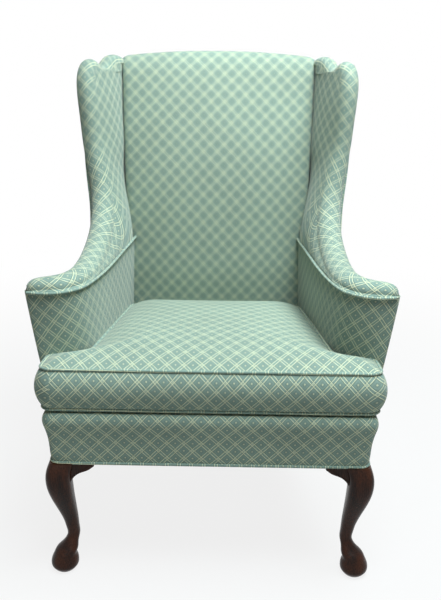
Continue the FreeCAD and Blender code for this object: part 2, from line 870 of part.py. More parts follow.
def deck_pad(cutters):
    corners = [(front_half_width - 14, border_rear)]
    rear = frame_depth - 6
    corners.append(side_point(rear, 6))
    corners += [(-x, y) for x, y in reversed(corners)]
    pad = plan_prism(corners, 0, deck_height + 40)
    pad = pad.cut(above_seat(0)).cut(below_seat(deck_pad_thickness))
    for piece in cutters:
        pad = pad.cut(piece).cut(mirrored(piece))
    return pad


def dust_cover(cutters):
    inset = 12.0
    corners = [(front_half_width - inset, frame_front + inset)]
    corners.append(side_point(frame_depth - 4, inset))
    corners += [(-x, y) for x, y in reversed(corners)]
    sheet = plan_prism(corners, rail_underside - dust_cover_thickness, rail_underside)
    for piece in cutters:
        sheet = sheet.cut(piece).cut(mirrored(piece))
    return sheet


# Welts
def arm_welt():
    out = welt_radius + soft_gap
    c = arm_corners(1, arm_height, 0)
    start = mixed(c["inner_rear"], c["scroll_start"], 0.28)
    heading = c["scroll_start"] - start
    heading.normalize()
    side = V(heading.y, -heading.x, 0)
    centre = c["scroll_start"] + V(scroll_radius, 0, 0)

    def pushed(p):
        ray = p - centre
        return centre + ray * ((ray.Length + out) / ray.Length)
    a = start + side * out
    b = pushed(c["scroll_start"])
    m = pushed(c["scroll_mid"])
    e = pushed(c["scroll_end"])
    end_heading = c["tip"] - c["scroll_end"]
    end_heading.normalize()
    return tube(Part.Wire([line(a, b), arc(b, m, e), line(e, e + end_heading * 24)]), welt_radius)


def border_welt():
    out = welt_radius + soft_gap
    z = rail_underside + welt_radius
    half = border_half + out
    y0 = border_front - out
    r = 20.0 + out
    nip = r * (1 - cos(radians(45)))
    back = border_rear
    path = Part.Wire([
        line(V(-half, back, z), V(-half, y0 + r, z)),
        arc(V(-half, y0 + r, z), V(-half + nip, y0 + nip, z), V(-half + r, y0, z)),
        line(V(-half + r, y0, z), V(half - r, y0, z)),
        arc(V(half - r, y0, z), V(half - nip, y0 + nip, z), V(half, y0 + r, z)),
        line(V(half, y0 + r, z), V(half, back, z)),
    ])
    return tube(path, welt_radius)


def wing_welt():
    near = -wing_thickness / 2 - welt_radius - soft_gap
    margin = wing_outer_roll + welt_radius
    low = wing_point(wing_depth_low - margin, wing_low)
    high = wing_point(wing_depth_top - margin, wing_high)
    middle_depth = 0.5 * (wing_depth_low + wing_depth_top) + wing_bow
    mid = wing_point(middle_depth - margin, 0.5 * (wing_low + wing_high))
    path = Part.Wire([arc(low, mid, high)])
    path.translate(wing_normal() * near)
    return tube(path, welt_radius)


def outside_wing():
    near = -wing_thickness / 2 - soft_gap
    outline = wing_outline(wing_outer_roll + 2 * welt_radius + 1, arm_height - 10)
    return above_arm(slab(outline, near - panel_thickness, near)).cut(behind_back(post_depth))


# Loose T-cushion: a foam core in a crowned cover with piped edges
def cushion_outline(z, out, bend):
    rear = cushion_rear_half + out
    front = cushion_front_half + out
    ear = ear_half_width + out
    y_rear = cushion_rear + out
    y_notch = cushion_notch + out
    y_front = cushion_front - out
    r_rear = 18.0
    r_notch = 68.0
    r_ear = 14.0
    r_front = 24.0
    dent = 1 - cos(radians(45))

    def half(side):
        def p(x, y):
            return V(side * x, y, z)
        return [
            line(p(0, y_front), p(ear - r_front, y_front)),
            *bend(p(ear - r_front, y_front), p(ear - r_front * dent, y_front + r_front * dent), p(ear, y_front + r_front)),
            line(p(ear, y_front + r_front), p(ear, y_notch - r_ear)),
            *bend(p(ear, y_notch - r_ear), p(ear - r_ear * dent, y_notch - r_ear * dent), p(ear - r_ear, y_notch)),
            line(p(ear - r_ear, y_notch), p(front + r_notch, y_notch)),
            *bend(p(front + r_notch, y_notch), p(front + r_notch * dent, y_notch + r_notch * dent), p(front, y_notch + r_notch)),
            line(p(front, y_notch + r_notch), p(rear, y_rear - r_rear)),
            *bend(p(rear, y_rear - r_rear), p(rear - r_rear * dent, y_rear - r_rear * dent), p(rear - r_rear, y_rear)),
            line(p(rear - r_rear, y_rear), p(0, y_rear)),
        ]
    right = half(1)
    left = half(-1)
    return Part.Wire(right + list(reversed(left)))


def faceted_bend(a, middle, b):
    return chords(a, middle, b, 5)


def smooth_bend(a, middle, b):
    return [arc(a, middle, b)]


def cushion_form():
    z0 = deck_height + soft_gap
    levels = [
        (0, -12), (3, -4), (boxing_bottom, 0), (0.5 * (boxing_bottom + boxing_top), boxing_bulge),
        (boxing_top, 0), (boxing_top + 8, -7), (boxing_top + 17, -19), (crown_height, -32),
    ]
    body = Part.makeLoft([cushion_outline(z0 + z, out, faceted_bend) for z, out in levels], True, True)
    middle = mixed(cushion_front, cushion_rear, 0.55)
    base = z0 + crown_height - crown_radius
    along = Part.makeCylinder(crown_radius, reach, V(0, middle - reach / 2, base), V(0, 1, 0))
    across = Part.makeCylinder(crown_radius, reach, V(-reach / 2, middle, base), V(1, 0, 0))
    return body.common(along).common(across)


def cushion_core():
    z0 = deck_height + soft_gap + 0.5 * (boxing_bottom + boxing_top - core_thickness)
    outline = cushion_outline(z0, -core_inset, smooth_bend)
    return Part.Face(outline).extrude(V(0, 0, core_thickness))


def cushion_zip():
    y0 = cushion_rear + boxing_bulge - zip_thickness + 0.5
    z0 = deck_height + 0.5 * (boxing_bottom + boxing_top - zip_width)
    return box(-zip_length / 2, zip_length / 2, y0, y0 + zip_thickness, z0, z0 + zip_width)


def zip_slider():
    y0 = cushion_rear + boxing_bulge + 0.5 + soft_gap
    z0 = deck_height + 0.5 * (boxing_bottom + boxing_top)
    x0 = -zip_length / 2 + 4
    body = box(x0, x0 + 12, y0, y0 + 2.5, z0 - 4.5, z0 + 4.5)
    tab = box(x0 + 3, x0 + 9, y0 + 2.5, y0 + 4, z0 - 22, z0 + 2)
    return body.fuse(tab)


def cushion_welt(height):
    z = deck_height + soft_gap + height
    path = cushion_outline(z, welt_radius + soft_gap, smooth_bend)
    return tube(path, welt_radius)


def save(name, shape):
    placed = shape.translated(V(0, centring, 0))
    print(name, len(placed.Solids), placed.isValid())
    placed.exportStep("parts/%s.step" % name)


def save_pair(name, shape):
    save(name + "_right", shape)
    save(name + "_left", mirrored(shape))


def build():
    os.makedirs("parts", exist_ok=True)
    side = side_rail()
    front = front_rail()
    back = back_rail()
    crest = crest_rail()
    tack = back_tack_rail()
    leg = front_leg([front, side])
    post = rear_post([side, back, crest, tack])
    save_pair("front_leg", leg)
    ears = knee_blocks(leg)
    save_pair("knee_blocks", ears)
    save_pair("rear_post", post)
    save("front_seat_rail", front)
    save_pair("side_seat_rail", side)
    save("back_seat_rail", back)
    save("crest_rail", crest)
    save("back_tack_rail", tack)
    save("corner_blocks", corner_blocks([leg, post, side, front, back]))
    save("seat_webbing", seat_webbing())
    save("back_webbing", back_webbing())
    board = arm_board()
    stump = arm_post()
    arm_rail = arm_tack_rail(post)
    save_pair("arm_board", board)
    save_pair("arm_post", stump)
    save_pair("arm_tack_rail", arm_rail)
    upright = wing_post()
    top_rail = wing_top_rail()
    save_pair("wing_post", upright)
    save_pair("wing_top_rail", top_rail)
    back_pad = inside_back([crest, post, board, arm_rail])
    save("inside_back", back_pad)
    save("outside_back", outside_back())
    arm = inside_arm([post, board, stump, arm_rail, back_pad])
    save_pair("inside_arm", arm)
    save_pair("outside_arm", outside_arm(post))
    wing = rolled_slab()
    wing = largest(wing.cut(back_pad).cut(post).cut(upright).cut(top_rail).cut(behind_back(post_depth)))
    save_pair("inside_wing", wing)
    wing_panel = outside_wing()
    save_pair("outside_wing", wing_panel)
    piping = wing_welt()
    save_pair("wing_welt", piping)
    save_pair("arm_top", arm_top([wing, wing_panel, piping, back_pad, post, upright, top_rail]))
    save_pair("arm_welt", arm_welt())
    save("front_border", front_border())
    save("border_welt", border_welt())
    save("deck_pad", deck_pad([arm, back_pad, post, stump]))
    save("dust_cover", dust_cover([leg, ears, post]))
    cover = cushion_form()
    core = cushion_core()
    zipper = cushion_zip()
    save("seat_cushion_cover", on_seat(cover.cut(core).cut(zipper)))
    save("seat_cushion_core", on_seat(core))
    save("cushion_zip", on_seat(zipper))
    save("zip_slider", on_seat(zip_slider()))
    save("cushion_welt_top", on_seat(cushion_welt(boxing_top)))
    save("cushion_welt_bottom", on_seat(cushion_welt(boxing_bottom)))


build()
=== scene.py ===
from math import cos, pi, radians, sin, tan

import bpy
import numpy as np
from mathutils import Matrix, Vector


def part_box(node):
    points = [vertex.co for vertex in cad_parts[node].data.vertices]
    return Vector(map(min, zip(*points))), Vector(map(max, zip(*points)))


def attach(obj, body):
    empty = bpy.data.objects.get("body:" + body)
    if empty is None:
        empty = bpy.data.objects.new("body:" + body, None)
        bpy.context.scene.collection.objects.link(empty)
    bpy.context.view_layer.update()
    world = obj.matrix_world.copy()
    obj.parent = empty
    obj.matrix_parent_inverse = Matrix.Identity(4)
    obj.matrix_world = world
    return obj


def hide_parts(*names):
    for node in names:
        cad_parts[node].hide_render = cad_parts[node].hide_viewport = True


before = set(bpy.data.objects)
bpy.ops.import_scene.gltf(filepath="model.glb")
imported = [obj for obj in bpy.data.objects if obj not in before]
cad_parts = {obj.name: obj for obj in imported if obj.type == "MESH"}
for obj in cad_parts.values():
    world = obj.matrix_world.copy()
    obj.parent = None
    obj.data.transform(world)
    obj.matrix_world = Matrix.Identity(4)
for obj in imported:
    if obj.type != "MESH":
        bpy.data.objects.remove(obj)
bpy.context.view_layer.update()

bl_info = {
    "name": "Wing armchair upholstery",
    "version": (1, 0, 0),
    "blender": (4, 5, 0),
    "location": "View3D > Sidebar > Armchair",
    "description": "Covers, cushion, piping, show-wood and stage for the wing armchair frame",
    "category": "Add Mesh",
}

# Points are written in millimetres from the middle of the seat frame, which sits this far behind the origin
CENTRING = 9.5
SIDES = (("right", 1), ("left", -1))

# Sizes shared with the frame
RAIL_UNDERSIDE = 271.0
DECK_HEIGHT = 392.0
ARM_HEIGHT = 620.0
BACK_HEIGHT = 1099.0
BORDER_FRONT = -368.5
BORDER_HALF = 338.5
BACK_FRONT = 191.0
BACK_RAKE = radians(9.8)
SEAT_SLOPE = radians(4.8)
POST_DEPTH = 42.0
CREST_PADDING = 51.5
POST_HEIGHT = (BACK_HEIGHT - CREST_PADDING - RAIL_UNDERSIDE) / cos(BACK_RAKE)


class ArmchairCloth(bpy.types.PropertyGroup):
    """Sizes and colours of the woven cover."""
    ground: bpy.props.FloatVectorProperty(
        name="Ground", description="Colour between the woven lines", subtype="COLOR", size=3, min=0, max=1,
        default=(0.200, 0.288, 0.246))
    figure: bpy.props.FloatVectorProperty(
        name="Figure", description="Colour of the woven lines and dots", subtype="COLOR", size=3, min=0, max=1,
        default=(0.62, 0.64, 0.43))
    repeat_across: bpy.props.FloatProperty(
        name="Repeat across", description="Width of one diamond", unit="LENGTH", default=0.0358, min=0.005)
    repeat_up: bpy.props.FloatProperty(
        name="Repeat up", description="Height of one diamond", unit="LENGTH", default=0.0371, min=0.005)
    piping_radius: bpy.props.FloatProperty(
        name="Piping radius", description="Radius of the corded seams", unit="LENGTH", default=0.0032, min=0.001)


class ArmchairCushion(bpy.types.PropertyGroup):
    """Sizes of the loose seat cushion."""
    crown: bpy.props.FloatProperty(
        name="Crown", description="Rise of the top above its piping", unit="LENGTH", default=0.040, min=0.0)
    bulge: bpy.props.FloatProperty(
        name="Bulge", description="Roundness of the side band at the front", unit="LENGTH", default=0.017, min=0.0)
    swell: bpy.props.FloatProperty(
        name="Swell", description="Most that the filling may push the cover out", unit="LENGTH", default=0.010,
        min=0.0)


class ArmchairWood(bpy.types.PropertyGroup):
    """Colours of the polished legs."""
    dark: bpy.props.FloatVectorProperty(
        name="Dark", description="Colour of the dark grain", subtype="COLOR", size=3, min=0, max=1,
        default=(0.006, 0.0026, 0.0018))
    light: bpy.props.FloatVectorProperty(
        name="Light", description="Colour of the light grain", subtype="COLOR", size=3, min=0, max=1,
        default=(0.046, 0.013, 0.005))


# ---------------------------------------------------------------- curves and cloth surfaces

def in_place(points):
    """Millimetres of the seat frame to metres of the stage."""
    return np.asarray(points, float) * 0.001 + np.array([0.0, CENTRING * 0.001, 0.0])


def on_side(points, sign):
    """Places drawn for the right side, turned over for the left."""
    return np.asarray(points, float) * np.array([sign, 1.0, 1.0])


def along(points):
    """Length run so far at each place on a line."""
    steps = np.linalg.norm(np.diff(np.asarray(points, float), axis=0), axis=1)
    return np.concatenate([[0.0], np.cumsum(steps)])


def spline_at(t, values, at):
    """A natural cubic spline through values at t, read at other places."""
    n = len(t)
    h = np.diff(t)
    matrix = np.eye(n)
    right = np.zeros_like(values)
    for i in range(1, n - 1):
        matrix[i, i - 1:i + 2] = [h[i - 1], 2 * (h[i - 1] + h[i]), h[i]]
        right[i] = 6 * ((values[i + 1] - values[i]) / h[i] - (values[i] - values[i - 1]) / h[i - 1])
    bend = np.linalg.solve(matrix, right)
    i = np.clip(np.searchsorted(t, at, side="right") - 1, 0, n - 2)
    a = ((t[i + 1] - at) / h[i])[:, None]
    b = ((at - t[i]) / h[i])[:, None]
    curve = a * values[i] + b * values[i + 1]
    return curve + ((a ** 3 - a) * bend[i] + (b ** 3 - b) * bend[i + 1]) * (h[i] ** 2)[:, None] / 6


def smooth_path(marks, count):
    """Evenly spaced places on a smooth line through the marks."""
    marks = np.asarray(marks, float)
    run = along(marks)
    return spline_at(run, marks, np.linspace(0, run[-1], count))


def straight_path(marks, count):
    """Evenly spaced places on straight runs between the marks."""
    marks = np.asarray(marks, float)
    run = along(marks)
    at = np.linspace(0, run[-1], count)
    return np.array([np.interp(at, run, marks[:, i]) for i in range(3)]).T


def deselect():
    bpy.ops.object.select_all(action="DESELECT")


def only(piece):
    deselect()
    piece.select_set(True)
    bpy.context.view_layer.objects.active = piece


def opened(piece):
    """Takes a piece into edit mode with all of it selected."""
    only(piece)
    bpy.ops.object.mode_set(mode="EDIT")
    bpy.ops.mesh.select_all(action="SELECT")


def joined(*pieces):
    """Makes one piece of several, under the first one's name."""
    deselect()
    for piece in pieces:
        piece.select_set(True)
    bpy.context.view_layer.objects.active = pieces[0]
    bpy.ops.object.join()
    return pieces[0]


def places_of(piece):
    places = np.empty(len(piece.data.vertices) * 3)
    piece.data.vertices.foreach_get("co", places)
    return places.reshape(-1, 3)


def move_to(piece, places):
    piece.data.vertices.foreach_set("co", places.ravel())
    piece.data.update()


def surface(name, rows, cloth):
    """A grid laid through rows of places, with its cloth map in millimetres beside it."""
    rows = np.asarray(rows, float)
    down, across = rows.shape[:2]
    deselect()
    bpy.ops.mesh.primitive_grid_add(x_subdivisions=across - 1, y_subdivisions=down - 1, size=1.0)
    piece = bpy.context.object
    piece.name = piece.data.name = name
    mesh = piece.data
    if len(mesh.vertices) != down * across:
        raise RuntimeError("the grid for %s has the wrong number of points" % name)
    corner = np.empty(len(mesh.loops), int)
    mesh.loops.foreach_get("vertex_index", corner)
    cloth = np.asarray(cloth, float).reshape(-1, 2)[corner] * 0.001
    mesh.uv_layers[0].name = "weave"
    mesh.uv_layers["weave"].data.foreach_set("uv", cloth.ravel())
    move_to(piece, in_place(rows.reshape(-1, 3)))
    return piece


def closed_up(piece, caps=True, angle=50.0):
    """Merges the seams, fills open ends and turns every face outwards."""
    opened(piece)
    bpy.ops.mesh.remove_doubles(threshold=0.00002)
    if caps:
        bpy.ops.mesh.fill_holes(sides=0)
        bpy.ops.mesh.select_all(action="SELECT")
    bpy.ops.mesh.normals_make_consistent(inside=False)
    bpy.ops.object.mode_set(mode="OBJECT")
    bpy.ops.object.shade_smooth_by_angle(angle=radians(angle))
    return piece


def faced(piece, toward):
    """Turns an open sheet over when most of it faces away from a direction."""
    total = sum(face.area * sum(n * d for n, d in zip(face.normal, toward)) for face in piece.data.polygons)
    if total < 0:
        opened(piece)
        bpy.ops.mesh.flip_normals()
        bpy.ops.object.mode_set(mode="OBJECT")


def thickened(piece, toward, thickness):
    """Gives an open cover its padding on the inner side."""
    faced(piece, toward)
    only(piece)
    wall = piece.modifiers.new("padding", "SOLIDIFY")
    wall.thickness = thickness * 0.001
    wall.offset = -1.0
    bpy.ops.object.modifier_apply(modifier="padding")
    bpy.ops.object.shade_smooth_by_angle(angle=radians(50))
    return piece


def piping(name, path, radius, closed=False):
    """A corded seam along a line of places, all in millimetres, with its cloth cut on the bias."""
    bias = 0.7
    path = np.asarray(path, float)
    if closed:
        heading = np.roll(path, -1, axis=0) - np.roll(path, 1, axis=0)
    else:
        heading = np.gradient(path, axis=0)
    heading /= np.linalg.norm(heading, axis=1)[:, None]
    side = np.cross(heading[0], (0.0, 0.0, 1.0))
    if np.linalg.norm(side) < 0.3:
        side = np.cross(heading[0], (0.0, 1.0, 0.0))
    turns = np.linspace(0, 2 * pi, 13)
    rings, cloth = [], []
    for place, ahead, length in zip(path, heading, along(path)):
        side = side - ahead * side.dot(ahead)
        side /= np.linalg.norm(side)
        lift = np.cross(side, ahead)
        rings.append([place + radius * (cos(a) * side + sin(a) * lift) for a in turns])
        cloth.append([(length * bias + radius * a * bias, length * bias - radius * a * bias) for a in turns])
    if closed:
        rings.append(rings[0])
        step = np.linalg.norm(path[0] - path[-1]) * bias
        cloth.append([(u + step, v + step) for u, v in cloth[-1]])
    return closed_up(surface(name, rings, cloth), caps=not closed)


def finish(piece, body, look, slot, *nodes):
    """Gives a piece its material, hides the nodes it stands for and sets it on the body it rides. The slot is not used.
    """
    piece.data.materials.clear()
    piece.data.materials.append(material(look))
    if nodes:
        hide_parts(*nodes)
    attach(piece, body)


# ---------------------------------------------------------------- materials

def node(tree, kind, settings=None, **inputs):
    """Adds a node. Inputs are given by name, or as i0, i1 and so on, and take a value or a link."""
    made = tree.nodes.new(kind)
    for key, value in (settings or {}).items():
        setattr(made, key, value)
    for key, value in inputs.items():
        socket = made.inputs[int(key[1:])] if key[1:].isdigit() else made.inputs[key.replace("_", " ")]
        if isinstance(value, bpy.types.NodeSocket):
            tree.links.new(value, socket)
        else:
            socket.default_value = value
    return made


def calc(tree, operation, *values):
    inputs = {"i%d" % i: value for i, value in enumerate(values)}
    return node(tree, "ShaderNodeMath", {"operation": operation}, **inputs).outputs[0]


def fade(tree, value, start, end, low=1.0, high=0.0):
    """Goes smoothly from low to high as value goes from start to end."""
    made = node(tree, "ShaderNodeMapRange", {"interpolation_type": "SMOOTHSTEP"}, Value=value)
    for key, number in (("From Min", start), ("From Max", end), ("To Min", low), ("To Max", high)):
        made.inputs[key].default_value = number
    return made.outputs[0]


def mixed(tree, share, a, b, blend="MIX"):
    """Mixes two colours. Its colour sockets are the seventh and eighth, as the node counts them."""
    return node(tree, "ShaderNodeMix", {"data_type": "RGBA", "blend_type": blend}, i0=share, i6=a, i7=b).outputs[2]


def noise(tree, scale, detail=2.0, vector=None):
    """Noise on the piece's own coordinates, or on others that are given."""
    if vector is None:
        vector = node(tree, "ShaderNodeTexCoord").outputs["Object"]
    return node(tree, "ShaderNodeTexNoise", Scale=scale, Detail=detail, Vector=vector).outputs["Fac"]


def bump(tree, height, distance, strength=1.0):
    return node(tree, "ShaderNodeBump", Height=height, Distance=distance, Strength=strength).outputs[0]


def blank(name, **constants):
    """A new material with its shader's plain values set."""
    made = bpy.data.materials.new(name)
    made.use_nodes = True
    tree = made.node_tree
    shader = tree.nodes["Principled BSDF"]
    for key, value in constants.items():
        shader.inputs[key.replace("_", " ")].default_value = value
    return made, tree, shader


def colour(values):
    return (*values, 1.0)


def lattice_cloth(name, cloth, painted_light_tone=1.0):
    """Raised diamond lattice of paired lines with a dot in each diamond."""
    made, tree, shader = blank(name, Roughness=0.86, Sheen_Weight=0.22, Sheen_Roughness=0.45,
                               Specular_IOR_Level=0.25)
    place = node(tree, "ShaderNodeSeparateXYZ", Vector=node(tree, "ShaderNodeUVMap", {"uv_map": "weave"}).outputs[0])
    wander = noise(tree, 14.0, 2.0)
    drift = calc(tree, "MULTIPLY", calc(tree, "SUBTRACT", wander, 0.5), 0.10)
    across = calc(tree, "ADD", calc(tree, "DIVIDE", place.outputs[0], cloth.repeat_across), drift)
    up = calc(tree, "ADD", calc(tree, "DIVIDE", place.outputs[1], cloth.repeat_up), drift)
    rising = calc(tree, "PINGPONG", calc(tree, "ADD", across, up), 0.5)
    falling = calc(tree, "PINGPONG", calc(tree, "SUBTRACT", across, up), 0.5)

    def stripes(middle, solid, faded):
        """Stripes both ways at a distance from the middle of each pair of lines, in repeats."""
        offs = [calc(tree, "ABSOLUTE", calc(tree, "SUBTRACT", way, middle)) for way in (rising, falling)]
        return calc(tree, "MAXIMUM", *[fade(tree, off, solid, faded) for off in offs])

    lines = stripes(0.112, 0.014, 0.040)
    # The edges are painted shadow: thin dark lines beside each raised line, where its shadow would fall.
    edges = stripes(0.178, 0.012, 0.035)
    deep_r = calc(tree, "SUBTRACT", 0.5, rising)
    deep_f = calc(tree, "SUBTRACT", 0.5, falling)
    reach = calc(tree, "SQRT", calc(tree, "ADD", calc(tree, "POWER", deep_r, 2.0), calc(tree, "POWER", deep_f, 2.0)))
    dot = fade(tree, reach, 0.045, 0.095, 0.9, 0.0)
    square = calc(tree, "MAXIMUM", deep_r, deep_f)
    pool = fade(tree, square, 0.13, 0.20)
    centre = fade(tree, calc(tree, "MAXIMUM", rising, falling), 0.03, 0.07, 0.45, 0.0)
    figure = calc(tree, "MAXIMUM", calc(tree, "MAXIMUM", lines, dot), centre)
    warp = calc(tree, "SINE", calc(tree, "MULTIPLY", place.outputs[0], 2 * pi / 0.0016))
    weft = calc(tree, "SINE", calc(tree, "MULTIPLY", place.outputs[1], 2 * pi / 0.0014))
    yarn = calc(tree, "ADD", calc(tree, "MULTIPLY", calc(tree, "MULTIPLY", warp, weft), 0.5), 0.5)
    fleck = noise(tree, 420.0, 2.0)
    patch = noise(tree, 5.0, 3.0)
    broken = calc(tree, "MULTIPLY", figure, fade(tree, fleck, 0.30, 0.52, 0.72, 1.0))
    # Scaling the colours above 1 paints the whole cloth lighter, a painted highlight; only the piping's copy does so,
    # the lattice cloth keeps 1.
    base = mixed(tree, broken, colour([c * painted_light_tone for c in cloth.ground]), colour([c * painted_light_tone for c in cloth.figure]))
    shade = calc(tree, "ADD", 0.86, calc(tree, "MULTIPLY", yarn, 0.16))
    shade = calc(tree, "MULTIPLY", shade, fade(tree, fleck, 0.25, 0.75, 0.90, 1.10))
    # This darkening holds the painted shadow of the edges and, more lightly, the pattern's own darker small diamond
    # round each dot.
    painted_shadow_and_dark_diamond = calc(tree, "MAXIMUM", calc(tree, "MULTIPLY", edges, 0.32), calc(tree, "MULTIPLY", pool, 0.16))
    shade = calc(tree, "MULTIPLY", shade, calc(tree, "SUBTRACT", 1.0, painted_shadow_and_dark_diamond))
    shade = calc(tree, "MULTIPLY", shade, fade(tree, patch, 0.3, 0.7, 0.95, 1.05))
    gray = node(tree, "ShaderNodeCombineColor", Red=shade, Green=shade, Blue=shade).outputs[0]
    tree.links.new(mixed(tree, 1.0, base, gray, "MULTIPLY"), shader.inputs["Base Color"])
    height = calc(tree, "ADD", calc(tree, "MULTIPLY", figure, 0.7), calc(tree, "MULTIPLY", yarn, 0.3))
    tree.links.new(bump(tree, height, 0.0009, 0.6), shader.inputs["Normal"])
    tree.links.new(fade(tree, figure, 0.0, 1.0, 0.92, 0.78), shader.inputs["Roughness"])
    return made


def polished_wood(name, wood):
    """Dark polished wood with its grain running up the leg."""
    made, tree, shader = blank(name, Coat_Weight=0.18, Coat_Roughness=0.08, Specular_IOR_Level=0.08)
    place = node(tree, "ShaderNodeTexCoord").outputs["Object"]
    stretched = node(tree, "ShaderNodeMapping", Vector=place, Scale=(9.0, 9.0, 1.2)).outputs[0]
    broad = noise(tree, 4.0, 4.0, stretched)
    fine = noise(tree, 60.0, 6.0, stretched)
    grain = calc(tree, "ADD", calc(tree, "MULTIPLY", broad, 0.65), calc(tree, "MULTIPLY", fine, 0.35))
    tree.links.new(mixed(tree, fade(tree, grain, 0.36, 0.66, 0.0, 1.0), colour(wood.dark), colour(wood.light)),
                   shader.inputs["Base Color"])
    tree.links.new(fade(tree, fine, 0.3, 0.7, 0.22, 0.36), shader.inputs["Roughness"])
    tree.links.new(bump(tree, grain, 0.0004, 0.25), shader.inputs["Normal"])
    return made


def bare_timber(name):
    """Pale sawn timber of the hidden frame."""
    made, tree, shader = blank(name, Roughness=0.7)
    place = node(tree, "ShaderNodeTexCoord").outputs["Object"]
    stretched = node(tree, "ShaderNodeMapping", Vector=place, Scale=(1.5, 8.0, 8.0)).outputs[0]
    grain = calc(tree, "ADD", calc(tree, "MULTIPLY", noise(tree, 6.0, 5.0, stretched), 0.6),
                 calc(tree, "MULTIPLY", noise(tree, 70.0, 4.0, stretched), 0.4))
    tree.links.new(mixed(tree, fade(tree, grain, 0.35, 0.65, 0.0, 1.0), (0.52, 0.34, 0.18, 1.0),
                         (0.70, 0.52, 0.32, 1.0)), shader.inputs["Base Color"])
    tree.links.new(bump(tree, grain, 0.0005, 0.3), shader.inputs["Normal"])
    return made


def plain_weave(name, low, high, thread):
    """A plain woven cloth: warp and weft threads over and under each other."""
    made, tree, shader = blank(name, Roughness=0.9, Specular_IOR_Level=0.2)
    place = node(tree, "ShaderNodeSeparateXYZ", Vector=node(tree, "ShaderNodeTexCoord").outputs["Object"])
    warp = calc(tree, "SINE", calc(tree, "MULTIPLY", place.outputs[0], 2 * pi / thread))
    depth = calc(tree, "ADD", place.outputs[1], place.outputs[2])
    weft = calc(tree, "SINE", calc(tree, "MULTIPLY", depth, 2 * pi / thread))
    weave = calc(tree, "ADD", calc(tree, "MULTIPLY", calc(tree, "MULTIPLY", warp, weft), 0.5), 0.5)
    blotch = noise(tree, 9.0, 3.0)
    share = calc(tree, "ADD", calc(tree, "MULTIPLY", weave, 0.6), calc(tree, "MULTIPLY", blotch, 0.4))
    tree.links.new(mixed(tree, share, colour(low), colour(high)), shader.inputs["Base Color"])
    tree.links.new(bump(tree, weave, thread * 0.3, 0.5), shader.inputs["Normal"])
    return made


def open_foam(name):
    """Yellow foam with open cells."""
    made, tree, shader = blank(name, Roughness=0.95)
    cells = noise(tree, 500.0, 3.0)
    tree.links.new(mixed(tree, cells, (0.62, 0.52, 0.30, 1.0), (0.88, 0.80, 0.58, 1.0)), shader.inputs["Base Color"])
    tree.links.new(bump(tree, cells, 0.001, 0.6), shader.inputs["Normal"])
    return made


def zip_teeth(name):
    """Woven tape with a row of teeth along its middle line."""
    made, tree, shader = blank(name, Specular_IOR_Level=0.4)
    place = node(tree, "ShaderNodeSeparateXYZ", Vector=node(tree, "ShaderNodeTexCoord").outputs["Object"])
    low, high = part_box("cushion_zip")
    off = calc(tree, "ABSOLUTE", calc(tree, "SUBTRACT", place.outputs[2], 0.5 * (low[2] + high[2])))
    row = fade(tree, off, 0.0022, 0.0030)
    tooth = calc(tree, "GREATER_THAN", calc(tree, "SINE", calc(tree, "MULTIPLY", place.outputs[0], 2 * pi / 0.0026)), 0)
    metal = calc(tree, "MULTIPLY", row, tooth)
    tape = calc(tree, "SINE", calc(tree, "MULTIPLY", place.outputs[0], 2 * pi / 0.0009))
    cloth = mixed(tree, fade(tree, tape, -1.0, 1.0, 0.0, 1.0), (0.20, 0.27, 0.22, 1.0), (0.30, 0.38, 0.31, 1.0))
    tree.links.new(mixed(tree, metal, cloth, (0.55, 0.42, 0.20, 1.0)), shader.inputs["Base Color"])
    tree.links.new(metal, shader.inputs["Metallic"])
    tree.links.new(fade(tree, metal, 0.0, 1.0, 0.9, 0.3), shader.inputs["Roughness"])
    tree.links.new(bump(tree, calc(tree, "ADD", metal, calc(tree, "MULTIPLY", tape, 0.05)), 0.0008, 0.8),
                   shader.inputs["Normal"])
    return made


def satin_brass(name):
    """Brushed brass of the zip's slider."""
    made, tree, shader = blank(name, Metallic=1.0)
    scratch = noise(tree, 300.0, 4.0)
    tree.links.new(mixed(tree, scratch, (0.50, 0.36, 0.15, 1.0), (0.66, 0.50, 0.24, 1.0)), shader.inputs["Base Color"])
    tree.links.new(fade(tree, scratch, 0.3, 0.7, 0.25, 0.42), shader.inputs["Roughness"])
    return made


MATERIALS = {}


def material(name):
    """Each material is made once, when the first piece asks for it."""
    if name not in MATERIALS:
        scene = bpy.context.scene
        makers = {
            "lattice cloth": (lattice_cloth, scene.armchair_cloth),
            # The piping cloth is the lattice cloth painted 8% lighter: a painted highlight standing in for the light on
            # the piping's top.
            "piping cloth": (lattice_cloth, scene.armchair_cloth, 1.08),
            "polished mahogany": (polished_wood, scene.armchair_wood),
            "bare timber": (bare_timber,),
            "jute webbing": (plain_weave, (0.30, 0.21, 0.11), (0.50, 0.38, 0.22), 0.004),
            "dust cloth": (plain_weave, (0.012, 0.012, 0.013), (0.035, 0.035, 0.036), 0.0016),
            "lining cloth": (plain_weave, (0.40, 0.43, 0.36), (0.56, 0.58, 0.50), 0.0014),
            "open foam": (open_foam,),
            "zip tape": (zip_teeth,),
            "satin brass": (satin_brass,),
        }
        maker, *settings = makers[name]
        MATERIALS[name] = maker(name, *settings)
    return MATERIALS[name]


# ---------------------------------------------------------------- back

def back_point(depth, height):
    """Depth and height of a place, from one behind the back's front plane and up along it."""
    y = BACK_FRONT + depth * cos(BACK_RAKE) + height * sin(BACK_RAKE)
    z = RAIL_UNDERSIDE - depth * sin(BACK_RAKE) + height * cos(BACK_RAKE)
    return y, z


def back_half(z):
    """Half the width of the inside back at a height."""
    return 237.0 + 0.03 * (z - 453.0)


# Height up the back, padding in front of the frame, and how far the sides fall behind the middle
BACK_PROFILE = ((0.245, 49.6, 29.0), (0.32, 62.0, 34.0), (0.397, 68.0, 36.0), (0.549, 75.5, 36.0),
                (0.723, 73.0, 36.0), (0.80, 67.0, 34.0), (0.894, 56.0, 31.0), (0.967, 45.0, 25.0))
CROWN_POWER = 2.3
TUCK_FROM, TUCK_DEPTH = 0.93, 13.0
BACK_FOOT = 335.0


